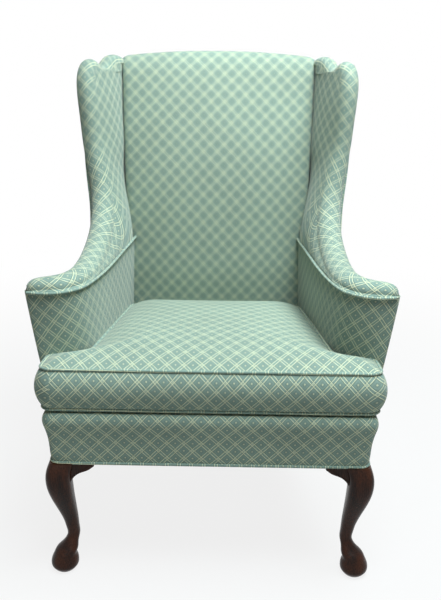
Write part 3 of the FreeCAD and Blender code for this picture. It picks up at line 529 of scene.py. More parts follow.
def back_front_line(s):
    """Front of the inside back, from the seat to the crest, a share s of the way to one side."""
    fall = abs(s) ** CROWN_POWER
    edge = max(abs(s) - TUCK_FROM, 0.0) / (1 - TUCK_FROM)
    tuck = TUCK_DEPTH * (1 - max(1 - edge ** 2, 0.0) ** 0.5)
    marks = [(s * back_half(BACK_FOOT), BACK_FRONT - 8 + 8 * fall, BACK_FOOT)]
    for share, padding, crown in BACK_PROFILE:
        y, z = back_point(-padding, share * POST_HEIGHT)
        marks.append((s * back_half(z), y + crown * fall + tuck, z))
    top = BACK_HEIGHT - 15 * fall - 0.6 * tuck
    y, z = back_point(-33, 1.021 * POST_HEIGHT)
    marks.append((s * back_half(z), y + 19 * fall + 0.8 * tuck, z - 6 * fall))
    roll_y, roll_z = back_point(POST_DEPTH, POST_HEIGHT - 6)
    marks.append((s * back_half(top), 0.5 * (y + 18 * fall + roll_y) - 3, top))
    marks.append((s * (back_half(roll_z) + 8), roll_y + 1, roll_z + 22 - 10 * fall))
    marks.append((s * (back_half(roll_z) + 16), roll_y + 9 - 2 * fall, roll_z - 4))
    under_y, under_z = back_point(POST_DEPTH + 1, POST_HEIGHT - 52)
    marks.append((s * (back_half(under_z) + 16), under_y + 3, under_z))
    return marks


def inside_back():
    """The crowned pad from the seat over the crest, closed behind the back frame."""
    quarter = pi / 2 * 0.98
    shares = np.sin(np.linspace(-1, 1, 75) * quarter) / sin(quarter)
    columns, cloth = [], []
    under_roll, foot = back_point(20, POST_HEIGHT - 60), back_point(-9, 70)
    for s in shares:
        line = smooth_path(back_front_line(s), 110)
        behind = [(line[-1][0] * 0.98, *under_roll), (line[0][0] * 0.98, *foot), line[0]]
        ring = np.vstack([line, behind])
        run = along(ring)
        columns.append(ring)
        cloth.append([(s * 250.0, length) for length in run])
    piece = closed_up(surface("inside_back_cover", columns, cloth))
    finish(piece, "chair_frame", "lattice cloth", "lattice_fabric", "inside_back")


def outside_back():
    """The cover stretched over the back posts behind, slightly puffed."""
    rows, cloth = [], []
    top = POST_HEIGHT - 45
    for share in np.linspace(0, 1, 60):
        height = 8 + share * (top - 8)
        z = RAIL_UNDERSIDE + height
        half = np.interp(z, (279, 620, RAIL_UNDERSIDE + top), (249, 264, 272))
        row, map_row = [], []
        for s in np.linspace(-1, 1, 40):
            puff = 4.5 * (1 - s ** 4) * (1 - (2 * share - 1) ** 6)
            y, level = back_point(POST_DEPTH + 4 + puff, height)
            row.append((s * half, y, level))
            map_row.append((s * half, height))
        rows.append(row)
        cloth.append(map_row)
    piece = thickened(surface("outside_back_cover", rows, cloth), (0, 1, 0), 4.0)
    finish(piece, "chair_frame", "lattice cloth", "lattice_fabric", "outside_back")


# ---------------------------------------------------------------- wings and arm tops

FLARE = radians(21.0)
FORWARD = np.array([sin(FLARE), -cos(FLARE), 0.0])
UP = np.array([0.0, 0.0, 1.0])

# Crest of the roll, its thickness, inner and outer rounding, tilt of the crest, inner edge and outer edge,
# from the scroll's tip back along the arm, up the front of the wing and over its top to the back.
# An inner edge that is one number is its height on the crease beside the inside back.
ROLL = (
    ((392, -255, 631), 18, 10, 10, 90, (393, -264, 621), (391, -246, 620)),
    ((386, -253, 639), 32, 16, 16, 90, (386, -270.5, 621), (383, -238, 620)),
    ((366, -248, 646), 48, 20, 22, 90, (364, -275, 621), (360, -221, 620)),
    ((340, -241, 648), 56, 22, 24, 90, (324, -270, 621), (346, -207, 620)),
    ((317, -221, 648), 60, 22, 25, 90, (290, -246, 621), (337, -193, 620)),
    ((301, -190, 649), 60, 22, 26, 90, (271, -208, 621), (328, -172, 620)),
    ((293, -152, 650), 60, 22, 26, 90, (262, -162, 621), (322, -145, 620)),
    ((288, -108, 656), 60, 26, 28, 90, (256, -112, 621), (317, -108, 620)),
    ((285, -50, 668), 60, 30, 30, 90, (248, -52, 621), (314, -50, 620)),
    ((283, 5, 687), 60, 34, 32, 88, (242, 3, 621), (313, 5, 620)),
    ((285, 50, 711), 58, 32, 28, 74, (236, 55, 621), (314, 62, 632)),
    ((291, 88, 744), 54, 30, 22, 54, (229, 120, 621), (317, 104, 672)),
    ((299, 112, 780), 50, 29, 17, 33, (224, 190, 640), (321, 131, 730)),
    ((308, 125, 818), 47, 28, 13, 18, 740, (328, 146, 790)),
    ((319, 137, 870), 46, 28, 12, 6, 838, None),
    ((326, 142, 945), 46, 28, 12, 4, 920, None),
    ((331, 149, 1012), 46, 28, 12, 16, 985, None),
    ((329, 166, 1056), 44, 26, 12, 52, 1022, None),
    ((319, 196, 1078), 42, 22, 12, 90, 1042, None),
    ((301, 243, 1059), 40, 20, 12, 90, 1050, None),
    ((287, 283, 1083), 40, 20, 12, 90, 1058, None),
    ((270, 320, 1085), 36, 18, 12, 90, 1056, None),
    ((257, 354, 1072), 28, 14, 10, 90, 1046, None),
)
# The cloth follows the run of the pad up to PAD_MAP_END, and from FLAT_MAP_FROM up it hangs flat, by height and
# distance forward. The run is counted so that both agree at MAP_LEVEL. CLIMB_LAST is the mark that ends the climb.
PAD_MAP_END, FLAT_MAP_FROM, MAP_LEVEL, CLIMB_LAST = 700.0, 780.0, 870.0, 16


def crease(z):
    """Where the wing meets the inside back."""
    line = np.array(back_front_line(1.0))[:10]
    return np.array([back_half(z) + 1.0, np.interp(z, line[:, 2], line[:, 1]) + 14.0, z])


def roll_frames():
    """Roll sizes with every inner and outer edge worked out."""
    crests = np.array([mark[0] for mark in ROLL], float)
    marks = []
    for mark, crest, heading in zip(ROLL, crests, np.gradient(crests, axis=0)):
        thick, inner, outer, tilt, edge, back_edge = mark[1:]
        lean = radians(tilt)
        out = cos(lean) * FORWARD + sin(lean) * UP
        side = np.cross(out, heading / np.linalg.norm(heading))
        side /= np.linalg.norm(side)
        if not isinstance(edge, tuple):
            edge = crease(edge)
        if back_edge is None:
            back_edge = crest - out * (outer + 6) - side * thick / 2
        marks.append(np.concatenate([crest, [thick, inner, outer], out, side, edge, back_edge]))
    return np.array(marks)


def roll_section(mark):
    """One section, from its inner edge over the crest to its outer edge."""
    crest, thick, inner, outer = mark[:3], mark[3], mark[4], mark[5]
    out = mark[6:9] / np.linalg.norm(mark[6:9])
    side = mark[9:12] / np.linalg.norm(mark[9:12])
    edge, back_edge = mark[12:15], mark[15:18]
    near = crest - out * inner + side * thick / 2
    wall = np.linalg.norm(near - edge)
    swell = min(9.0, 0.08 * wall)
    points = []
    for share in np.linspace(0, 1, 17)[:-1]:
        points.append(edge + (near - edge) * share + side * swell * sin(pi * share) ** 0.8)
    inner_count = len(points)
    for turn in np.linspace(0, pi / 2, 11):
        points.append(crest - out * inner * (1 - sin(turn)) + side * cos(turn) * thick / 2)
    for turn in np.linspace(pi / 2, 0, 9)[1:]:
        points.append(crest - out * outer * (1 - sin(turn)) - side * cos(turn) * thick / 2)
    far = points[-1]
    for share in np.linspace(0, 1, 6)[1:]:
        points.append(far + (back_edge - far) * share)
    return points, inner_count


def wing_and_arm(name, sign):
    """One closed pad swept along the arm top and up round the wing, and the line of its outer edge."""
    marks = roll_frames()
    run = along(marks[:, :3])
    places = np.linspace(0, run[-1], 190)
    fine = spline_at(run, marks, places)
    flat_share = np.clip((fine[:, 2] - PAD_MAP_END) / (FLAT_MAP_FROM - PAD_MAP_END), 0, 1)
    climbing = (places < run[CLIMB_LAST]) & (fine[:, 2] > FLAT_MAP_FROM)
    first_climbing = int(np.argmax(climbing))
    zero = float(np.interp(MAP_LEVEL, fine[climbing, 2], places[climbing])) - MAP_LEVEL
    level_edge = float(np.array(roll_section(fine[first_climbing])[0][16]) @ FORWARD)
    walls, wall_cloth, rolls, roll_cloth = [], [], [], []
    for mark, place, share in zip(fine, places, flat_share):
        points, inner_count = roll_section(mark)
        points = np.array(points)
        wall = points[:inner_count + 1]
        roll = points[inner_count:]
        under = roll[-1] + (wall[0] - roll[-1]) * np.linspace(0, 1, 5)[1:, None]
        start = float(wall[-1] @ FORWARD) if place > places[first_climbing] else level_edge
        lengths = along(roll)
        lengths = list(lengths) + [lengths[-1] + 8 * i for i in range(1, 5)]
        flat = np.array([(float(p @ FORWARD), p[2]) for p in wall])
        strip = np.array([(start - length, place - zero) for length in along(wall)[-1] - along(wall)])
        walls.append(wall)
        wall_cloth.append(flat * share + strip * (1 - share))
        rolls.append(np.vstack([roll, under]))
        roll_cloth.append([(start + length, place - zero) for length in lengths])
    outer_edge = np.array([roll[-5] for roll in rolls])
    wall_piece = surface(name, on_side(walls, sign), wall_cloth)
    roll_piece = surface(name + "_roll", on_side(rolls, sign), roll_cloth)
    return closed_up(joined(wall_piece, roll_piece)), outer_edge


def outside_wing(name, outer_edge, sign):
    """The flat outer cover between the pad's outer edge and the back post."""
    first = np.argmax((outer_edge[:, 2] > ARM_HEIGHT + 0.6) & (outer_edge[:, 1] > -20))
    edge = straight_path(outer_edge[first:], 90)
    foot, top = ARM_HEIGHT - 4, 1020.0

    def rear(z):
        return (268 + (z - 620) * 0.021, BACK_FRONT + (z - RAIL_UNDERSIDE) * tan(BACK_RAKE) + POST_DEPTH + 3, z)

    base = straight_path(((edge[0][0] + 0.5, edge[0][1] - 12, foot), (317, 60, foot), (324, 128, foot),
                          (303, 205, foot), rear(foot), rear(top), edge[-1] + np.array([-2, 10, -8])), 90)
    rows, cloth = [], []
    for a, b in zip(edge, base):
        row = [a + (b - a) * share for share in np.linspace(0, 1, 26)]
        rows.append(row)
        cloth.append([(float(p @ FORWARD), p[2]) for p in row])
    return thickened(surface(name, on_side(rows, sign), cloth), (sign, 0.2, 0), 4.0)


def wings():
    """Pads, outer covers and the thin piping down each wing's outer edge."""
    radius = bpy.context.scene.armchair_cloth.piping_radius * 1000
    for side, sign in SIDES:
        pad, outer_edge = wing_and_arm("wing_and_arm_pad_" + side, sign)
        finish(pad, "chair_frame", "lattice cloth", "lattice_fabric", "inside_wing_" + side, "arm_top_" + side)
        cover = outside_wing("outside_wing_cover_" + side, outer_edge, sign)
        finish(cover, "chair_frame", "lattice cloth", "lattice_fabric", "outside_wing_" + side)
        seam = outer_edge[(outer_edge[:, 2] > 640) & (outer_edge[:, 1] < 190)]
        seam = seam[::2] + np.array([0.6, -0.6, 0])
        cord = piping("wing_piping_" + side, on_side(seam, sign), radius * 0.8)
        finish(cord, "chair_frame", "piping cloth", "welt_fabric", "wing_welt_" + side)


# ---------------------------------------------------------------- arms

ARM_INNER_TOP = ((221, 222, 620), (225, 170, 620), (235, 60, 620), (245, -50, 620), (256, -134, 620),
                 (269, -196, 620), (288, -243, 620), (318, -268, 620), (345, -276, 620), (374, -274, 620),
                 (392, -266, 620), (397, -254, 620), (391, -242, 620), (376, -231, 620))
ARM_INNER_LOW = ((231, 222, 330), (237, 170, 330), (249, 60, 330), (259, -50, 330), (265, -134, 330),
                 (272, -180, 330), (283, -212, 330), (302, -236, 330), (322, -256, 330), (340, -274, 330),
                 (347, -276, 330), (350, -266, 330), (345, -254, 330), (332, -244, 330))
ARM_OUTER_TOP = ((377, -232, 620), (352, -214, 620), (334, -192, 620), (323, -160, 620), (317, -110, 620),
                 (314, -20, 620), (316, 60, 620), (322, 110, 620), (322, 145, 620), (303, 207, 620), (268, 294, 620))
ARM_OUTER_LOW = ((319, -252, 271), (316, -228, 271), (312, -200, 271), (307, -165, 271), (299, -110, 271),
                 (285, -20, 271), (273, 60, 271), (266, 105, 271), (261, 142, 271), (254, 185, 271), (243, 236, 271))


def ruled(name, top, low, sign, toward, down, count, belly):
    """A cover drawn from one line down to another, with a slight belly."""
    upper = smooth_path(top, count)
    lower = smooth_path(low, count)
    run = along(upper)
    heading = np.gradient(upper, axis=0)
    heading[:, 2] = 0
    heading /= np.linalg.norm(heading, axis=1)[:, None]
    outward = np.stack([heading[:, 1], -heading[:, 0], np.zeros(count)], axis=1)
    if sum(outward @ np.array(toward)) < 0:
        outward = -outward
    rows, cloth = [], []
    for share in np.linspace(0, 1, down):
        swell = belly * (sin(pi * share) ** 0.7)
        row = upper + (lower - upper) * share + outward * swell
        rows.append(row)
        cloth.append([(length, z) for length, z in zip(run, row[:, 2])])
    return surface(name, on_side(rows, sign), cloth)


def arms():
    """Inside and outside covers of the arms, and the piping under each arm top as far as the scroll's tip."""
    radius = bpy.context.scene.armchair_cloth.piping_radius * 1000
    for side, sign in SIDES:
        inner = ruled("inside_arm_cover_" + side, ARM_INNER_TOP, ARM_INNER_LOW, sign, (-1, -0.4, 0),
                      down=40, count=130, belly=2.0)
        thickened(inner, (-sign, -0.4, 0), 6.0)
        finish(inner, "chair_frame", "lattice cloth", "lattice_fabric", "inside_arm_" + side)
        outer = ruled("outside_arm_cover_" + side, ARM_OUTER_TOP, ARM_OUTER_LOW, sign, (1, 0, 0),
                      down=40, count=90, belly=1.5)
        thickened(outer, (sign, 0, 0), 4.0)
        finish(outer, "chair_frame", "lattice cloth", "lattice_fabric", "outside_arm_" + side)
        seam = smooth_path(ARM_INNER_TOP, 150)[:138]
        heading = np.gradient(seam, axis=0)
        heading /= np.linalg.norm(heading, axis=1)[:, None]
        seam = seam + np.stack([heading[:, 1], -heading[:, 0], np.zeros(len(seam))], axis=1) * 3.0
        seam[:, 2] = ARM_HEIGHT + 1.0
        cord = piping("arm_piping_" + side, on_side(seam, sign), radius)
        finish(cord, "chair_frame", "piping cloth", "welt_fabric", "arm_welt_" + side)


# ---------------------------------------------------------------- seat cushion

CUSHION_FRONT, CUSHION_REAR, CUSHION_NOTCH = -368.0, 157.0, -279.0
EAR_HALF, NOTCH_HALF, REAR_HALF = 351.0, 262.0, 226.0
FRONT_ROUND, EAR_ROUND, NOTCH_ROUND, REAR_ROUND = 24.0, 14.0, 68.0, 18.0
WELT_LOW, WELT_HIGH = 7.0, 94.0
CUSHION_BASE = DECK_HEIGHT + 0.3
# How far in from the seam the crown still rises, and the bottom still rounds
CROWN_REACH, BOTTOM_REACH = 165.0, 26.0


def on_seat(points):
    """Tips level places back with the seat."""
    points = np.asarray(points, float)
    back = points[..., 1] - BORDER_FRONT
    rise = points[..., 2] - DECK_HEIGHT
    out = points.copy()
    out[..., 1] = BORDER_FRONT + back * cos(SEAT_SLOPE) + rise * sin(SEAT_SLOPE)
    out[..., 2] = DECK_HEIGHT - back * sin(SEAT_SLOPE) + rise * cos(SEAT_SLOPE)
    return out


def rounded(reach, radius):
    """How far a round corner stands out at a distance from its middle."""
    return (radius ** 2 - min(reach, radius) ** 2) ** 0.5


def cushion_half(y):
    """Half the width of the cushion's seam at each depth."""
    if y < CUSHION_FRONT + FRONT_ROUND:
        return EAR_HALF - FRONT_ROUND + rounded(CUSHION_FRONT + FRONT_ROUND - y, FRONT_ROUND)
    if y < CUSHION_NOTCH - EAR_ROUND:
        return EAR_HALF
    if y < CUSHION_NOTCH:
        return EAR_HALF - EAR_ROUND + rounded(y - (CUSHION_NOTCH - EAR_ROUND), EAR_ROUND)
    inner = CUSHION_NOTCH + NOTCH_ROUND
    if y < inner:
        return NOTCH_HALF + NOTCH_ROUND - rounded(inner - y, NOTCH_ROUND)
    straight = NOTCH_HALF + (REAR_HALF - NOTCH_HALF) * (y - inner) / (CUSHION_REAR - inner)
    if y > CUSHION_REAR - REAR_ROUND:
        return straight - REAR_ROUND + rounded(y - (CUSHION_REAR - REAR_ROUND), REAR_ROUND)
    return straight


def cushion_rows():
    """Depths of the rows of places, close together where the seam turns."""
    def turn(count):
        return np.linspace(0, pi / 2, count)

    inner, rear = CUSHION_NOTCH + NOTCH_ROUND, CUSHION_REAR - REAR_ROUND
    return np.concatenate([
        CUSHION_FRONT + FRONT_ROUND * (1 - np.cos(turn(7))),
        np.linspace(CUSHION_FRONT + FRONT_ROUND, CUSHION_NOTCH - EAR_ROUND, 8)[1:-1],
        CUSHION_NOTCH - EAR_ROUND + EAR_ROUND * np.sin(turn(5)),
        CUSHION_NOTCH + NOTCH_ROUND * (1 - np.cos(turn(12)))[1:],
        np.linspace(inner, rear, 44)[1:-1],
        rear + REAR_ROUND * np.sin(turn(6))])


def cushion_plan(inset, columns=88):
    """Rows of places over the whole plan, drawn in by an inset, and the seam round them."""
    plan = []
    for y in np.interp(cushion_rows(), (CUSHION_FRONT, CUSHION_REAR), (CUSHION_FRONT + inset, CUSHION_REAR - inset)):
        half = min(cushion_half(y + step) for step in (-inset, 0, inset)) - inset
        plan.append([(s * half, y) for s in np.linspace(-1, 1, columns)])
    plan = np.array(plan)
    seam = np.vstack([plan[0, :-1], plan[:-1, -1], plan[-1, :0:-1], plan[:0:-1, 0]])
    return plan, seam


def seam_distance(plan, seam):
    """Distance from each place in the plan to the seam."""
    flat = plan.reshape(-1, 2)
    nearest = np.full(len(flat), 1e9)
    for start, side in zip(seam, np.roll(seam, -1, axis=0) - seam):
        length = side @ side
        if length < 1e-9:
            continue
        t = np.clip(((flat - start) @ side) / length, 0, 1)
        nearest = np.minimum(nearest, np.linalg.norm(flat - start - t[:, None] * side, axis=1))
    return nearest.reshape(plan.shape[:2])


def seam_outward(seam):
    heading = np.roll(seam, -1, axis=0) - np.roll(seam, 1, axis=0)
    heading /= np.maximum(np.linalg.norm(heading, axis=1), 1e-9)[:, None]
    return np.stack([heading[:, 1], -heading[:, 0]], axis=1)


def seam_ring(seam, level):
    """The seam's places at a level of the cushion, tipped with the seat."""
    return on_seat(np.column_stack([seam, np.full(len(seam), CUSHION_BASE + level)]))


def cushion_shell(name, inset, low, high, crown, bulge, levels):
    """A closed cushion: crowned top, bulging side band and flat bottom with a soft edge."""
    plan, seam = cushion_plan(inset)
    away = seam_distance(plan, seam)
    back_share = np.clip((plan[..., 1] - CUSHION_FRONT) / (CUSHION_REAR - CUSHION_FRONT), 0, 1)
    dome = 1 - (1 - np.clip(away / CROWN_REACH, 0, 1)) ** 2.9
    lean = 0.86 + 0.24 * np.sin(pi * np.clip(back_share * 0.84, 0, 1))
    top = high + crown * dome * lean
    bottom = low - min(low, 8.0) * (1 - (1 - np.clip(away / BOTTOM_REACH, 0, 1)) ** 2)
    loop = np.vstack([seam, seam[:1]])
    out = seam_outward(seam)
    out = np.vstack([out, out[:1]]) * np.interp(loop[:, 1], (-300, -235), (1.0, 0.4))[:, None]
    run = along(loop)
    rows, cloth = [], []
    for share in np.linspace(0, 1, levels):
        swell = bulge * (1 - (2 * share - 1) ** 2) ** 0.85
        level = low + (high - low) * share
        rows.append(seam_ring(loop + out * swell, level))
        cloth.append(np.column_stack([run, np.full(len(run), level)]))
    shell = joined(surface(name, on_seat(np.dstack([plan, CUSHION_BASE + top])), plan),
                   surface(name + "_under", on_seat(np.dstack([plan, CUSHION_BASE + bottom])), plan),
                   surface(name + "_band", rows, cloth))
    return closed_up(shell, caps=False, angle=180.0), seam


def puffed(piece, seam, cap):
    """Fills the cushion with air by simulation, holding its seams, and keeps the push under a cap."""
    rest = places_of(piece)
    held = piece.vertex_groups.new(name="seams")
    for level in (WELT_LOW, WELT_HIGH):
        for place in in_place(seam_ring(seam, level)):
            near = np.nonzero(np.linalg.norm(rest - place, axis=1) < 0.0006)[0]
            held.add([int(i) for i in near], 1.0, "REPLACE")
    only(piece)
    cloth = piece.modifiers.new("filling", "CLOTH")
    values = {"quality": 6, "mass": 0.35, "tension_stiffness": 25, "compression_stiffness": 25, "shear_stiffness": 12,
              "bending_stiffness": 3.0, "use_pressure": True, "uniform_pressure_force": 4.0,
              "vertex_group_mass": "seams"}
    for key, value in values.items():
        setattr(cloth.settings, key, value)
    cloth.settings.effector_weights.gravity = 0.0
    cloth.collision_settings.use_collision = False
    frames = 20
    cloth.point_cache.frame_start, cloth.point_cache.frame_end = 1, frames
    scene = bpy.context.scene
    for number in range(1, frames + 1):
        scene.frame_set(number)
    bpy.ops.object.modifier_apply(modifier="filling")
    scene.frame_set(1)
    push = places_of(piece) - rest
    length = np.linalg.norm(push, axis=1)
    settled = rest + push * (cap * np.tanh(length / cap) / np.maximum(length, 1e-9))[:, None]
    deck_place = in_place(on_seat(np.array([[0.0, 0.0, DECK_HEIGHT]])))
    upward = np.array([0.0, sin(SEAT_SLOPE), cos(SEAT_SLOPE)])
    clearance = (settled - deck_place) @ upward
    move_to(piece, settled + np.maximum(0.0004 - clearance, 0)[:, None] * upward)


def subdivided(piece):
    """Rounds the cushion's cover by one subdivision."""
    only(piece)
    finer = piece.modifiers.new("finer", "SUBSURF")
    finer.levels = finer.render_levels = 1
    bpy.ops.object.modifier_apply(modifier="finer")
    bpy.ops.object.shade_smooth_by_angle(angle=radians(60))


def cushion():
    """The cover with its filling pressing on it, the foam inside and the piping round both seams."""
    scene = bpy.context.scene
    settings = scene.armchair_cushion
    radius = scene.armchair_cloth.piping_radius * 1000
    cover, seam = cushion_shell("seat_cushion_soft", inset=0.0, low=WELT_LOW, high=WELT_HIGH,
                                crown=settings.crown * 1000, bulge=settings.bulge * 1000, levels=15)
    puffed(cover, seam, settings.swell)
    subdivided(cover)
    finish(cover, "seat_cushion", "lattice cloth", "lattice_fabric", "seat_cushion_cover")
    foam, _ = cushion_shell("seat_cushion_foam", inset=18.0, low=16.0, high=98.0, crown=8.0, bulge=2.0, levels=5)
    finish(foam, "seat_cushion", "open foam", "foam", "seat_cushion_core")
    for name, level in (("bottom", WELT_LOW), ("top", WELT_HIGH)):
        ring = seam_ring(seam + seam_outward(seam) * 1.8, level)
        cord = piping("cushion_piping_" + name, ring, radius, closed=True)
        finish(cord, "seat_cushion", "piping cloth", "welt_fabric", "cushion_welt_" + name)


# ---------------------------------------------------------------- front border, deck and dust cover

# How fast each side of the seat draws in towards the back
SEAT_TAPER = 0.153
# Height up the border and how far it swells forward, from its lower edge over its top and in behind
BORDER_PROFILE = ((0.0, 0.5), (0.1, 2.2), (0.3, 3.6), (0.5, 5.6), (0.68, 9.5), (0.82, 12.5), (0.92, 11.0),
                  (0.985, 5.0), (1.0, -2.0), (0.998, -12.0))


def border_line(swell):
    """Plan of the border from one side's end round the front to the other."""
    half = BORDER_HALF + swell
    front = BORDER_FRONT - swell
    corner = 20.0
    right = [(half - SEAT_TAPER * 0.5 * max(y + 300.0, 0.0), y) for y in np.linspace(-246.0, -340.0, 12)]
    right += [(half - corner + corner * cos(a), front + corner - corner * sin(a)) for a in np.linspace(0, pi / 2, 10)]
    right += [(x, front) for x in np.linspace(half - corner, 0, 24)[1:]]
    right = np.array(right)
    left = right[::-1][1:] * np.array([-1, 1])
    return np.vstack([right, left])


def border():
    """The padded apron round the front of the seat, with its piping along the lower edge."""
    radius = bpy.context.scene.armchair_cloth.piping_radius * 1000
    rise = DECK_HEIGHT - RAIL_UNDERSIDE
    profile = np.array(BORDER_PROFILE)
    run_up = along(profile * (rise, 1.0))
    fine = spline_at(run_up, profile, np.linspace(0, run_up[-1], 36))
    rows, cloth = [], []
    for (share, swell), up in zip(fine, along(fine * (rise, 1.0))):
        line = border_line(swell)
        row = np.column_stack([line, np.full(len(line), RAIL_UNDERSIDE + share * rise)])
        run = along(row)
        rows.append(row)
        cloth.append(np.column_stack([run - run[-1] / 2, np.full(len(run), up)]))
    piece = thickened(surface("border_cover", rows, cloth), (0, -1, 0.2), 9.0)
    finish(piece, "chair_frame", "lattice cloth", "lattice_fabric", "front_border")
    line = border_line(1.5)
    path = np.column_stack([line, np.full(len(line), RAIL_UNDERSIDE + 2.5)])
    cord = piping("border_piping", path, radius)
    finish(cord, "chair_frame", "piping cloth", "welt_fabric", "border_welt")


# Half the width of the deck at each depth, out to the arms
DECK_EDGE = ((-353, -340, -290, -274, -262, -243, -219, -183, -134, 60, 176),
             (308, 322, 324, 328, 320, 300, 281, 269, 262, 245, 236))
DECK_FRONT, DECK_REAR = -353.0, 176.0
SHEET_FRONT, SHEET_REAR = -342.0, 226.0


def deck():
    """The lined pad under the cushion."""
    rows, cloth = [], []
    for share in np.linspace(0, 1, 60):
        y = DECK_FRONT + share * (DECK_REAR - DECK_FRONT)
        half = np.interp(y, *DECK_EDGE)
        row, map_row = [], []
        for s in np.linspace(-1, 1, 50):
            puff = 1.2 * (1 - abs(s) ** 8) * (1 - abs(2 * share - 1) ** 8)
            row.append((s * half, y, DECK_HEIGHT - 2.8 + puff))
            map_row.append((s * half, y))
        rows.append(on_seat(row))
        cloth.append(map_row)
    pad = thickened(surface("deck_cover", rows, cloth), (0, 0, 1), 9.0)
    finish(pad, "chair_frame", "lining cloth", "deck_cloth", "deck_pad")


def dust_half(y):
    """Half the width of the dust cover, cut round the front legs and the rear posts."""
    half = 316.0 - (y - SHEET_FRONT) * SEAT_TAPER
    if y < -286:
        half = np.interp(y, (-342, -302, -286), (268, 276, 306))
    return half - np.interp(y, (190, 200), (0, 36))


def dust_sheet():
    """The cloth that closes the seat from below, sagging a little."""
    depths = np.linspace(SHEET_FRONT, SHEET_REAR, 60)
    middle, reach = (SHEET_REAR + SHEET_FRONT) / 2, (SHEET_REAR - SHEET_FRONT) / 2
    rows, cloth = [], []
    for y in depths:
        row = []
        for s in np.linspace(-1, 1, 44):
            sag = 5.0 * (1 - s ** 2) * (1 - ((y - middle) / reach) ** 2)
            row.append((s * dust_half(y), y, RAIL_UNDERSIDE - 0.6 - sag))
        rows.append(row)
        cloth.append([(x, y) for x, y, _ in row])
    sheet = thickened(surface("dust_sheet", rows, cloth), (0, 0, -1), 0.8)
    finish(sheet, "chair_frame", "dust cloth", "dust_cloth", "dust_cover")


# ---------------------------------------------------------------- show-wood

def eased(t):
    """A smooth step from 0 to 1."""
    return t * t * (3 - 2 * t)


LEG_SWING, FOOT_SWING, ANKLE, KNEE = 19.6, 18.8, 13.7, 27.4
ANKLE_HEIGHT, KNEE_HEIGHT, LEG_HEIGHT = 76.0, 232.0, 273.0
LEG_X, LEG_Y = 305.0, -341.0


def leg_marks():
    """Height, outward swing, half width and squareness up the leg, from the pad foot over the ankle to the knee."""
    marks = [(0, 18.8, 21.5, 2.0), (2.5, 18.8, 24.0, 2.0), (6, 18.8, 26.6, 2.0), (10, 18.8, 29.2, 2.0),
             (16, 18.7, 30.5, 2.0), (22, 18.5, 30.2, 2.0), (30, 18.0, 28.2, 2.0), (38, 17.2, 25.2, 2.1)]
    for share in (0.62, 0.74, 0.86):
        part = eased((1 - share) / 0.62)
        marks.append((share * ANKLE_HEIGHT, FOOT_SWING * part + 1.0, ANKLE + 16.8 * part ** 1.25, 2.2))
    for share in (0, 0.12, 0.25, 0.38, 0.5, 0.62, 0.74, 0.86, 1):
        part = eased(share ** 1.05)
        marks.append((ANKLE_HEIGHT + share * (KNEE_HEIGHT - ANKLE_HEIGHT), LEG_SWING * part,
                      ANKLE + (KNEE - ANKLE) * part, 2.3 + 0.7 * part))
    for share in (0.35, 0.7, 1.0):
        marks.append((KNEE_HEIGHT + share * (LEG_HEIGHT - KNEE_HEIGHT), LEG_SWING * (1 - 0.5 * share ** 2), KNEE,
                      3.0 + share))
    return np.array(marks, float)


def leg_rings(count=110, around=48):
    marks = leg_marks()
    fine = spline_at(marks[:, 0], marks, np.linspace(0, marks[-1, 0], count))
    turns = np.linspace(0, 2 * pi, around + 1)
    rings, cloth = [], []
    for z, swing, half, square in fine:
        ring = []
        for a in turns:
            reach = half / (abs(cos(a)) ** square + abs(sin(a)) ** square) ** (1 / square)
            ring.append((LEG_X + swing + reach * cos(a), LEG_Y - swing + reach * sin(a), z))
        rings.append(ring)
        cloth.append([(half * a, z) for a in turns])
    return rings, cloth


def ear_shape():
    """Outline of the carved bracket beside the knee, as distances from the leg and heights."""
    lower = smooth_path(((0, 219, 0), (9, 236, 0), (20, 246, 0), (32, 250.5, 0), (42, 254, 0), (50, 259.5, 0)), 16)
    tip = smooth_path(((50, 259.5, 0), (53.5, 262, 0), (54.5, 266, 0), (54, 270.6, 0)), 7)[1:]
    outline = [(p[0], p[1]) for p in lower] + [(p[0], p[1]) for p in tip]
    return outline + [(-22, 270.6), (-22, 219)]


def knee_ear(name, turned, sign):
    """One bracket: its outline is drawn, thickened and its edges rounded over."""
    outline = ear_shape()
    deselect()
    bpy.ops.mesh.primitive_circle_add(vertices=len(outline), radius=1, fill_type="NGON")
    piece = bpy.context.object
    piece.name = piece.data.name = name
    knee = LEG_X + LEG_SWING - KNEE
    move_to(piece, in_place([(knee + 4 - off, LEG_Y - 30, z) for off, z in outline]))
    opened(piece)
    bpy.ops.mesh.extrude_region_move(TRANSFORM_OT_translate={"value": (0, 0.031, 0)})
    bpy.ops.mesh.select_all(action="SELECT")
    bpy.ops.mesh.normals_make_consistent(inside=False)
    bpy.ops.mesh.bevel(offset=0.0045, segments=4, profile=0.6, affect="EDGES", clamp_overlap=True)
    bpy.ops.object.mode_set(mode="OBJECT")
    places = (places_of(piece) - in_place((0, 0, 0))) * 1000
    off = knee - places[:, 0]
    places[:, 1] += 7 * np.clip(off / 52, 0, 1) ** 1.5 * (places[:, 1] < LEG_Y - 15)
    if turned:
        x, y = places[:, 0].copy(), places[:, 1].copy()
        places[:, 0] = LEG_X - (y - LEG_Y)
        places[:, 1] = LEG_Y - (x - LEG_X)
    move_to(piece, in_place(on_side(places, sign)))
    return closed_up(piece, caps=False, angle=40.0)


def leg_stump(sign):
    """The square top of the leg, tenoned up inside the corner of the seat frame."""
    low, high = np.array([276.0, -357.0, 268.0]), np.array([328.0, -305.0, 362.0])
    deselect()
    bpy.ops.mesh.primitive_cube_add(size=1.0)
    stump = bpy.context.object
    move_to(stump, in_place(on_side(np.where(places_of(stump) > 0, high, low), sign)))
    return closed_up(stump, caps=False)


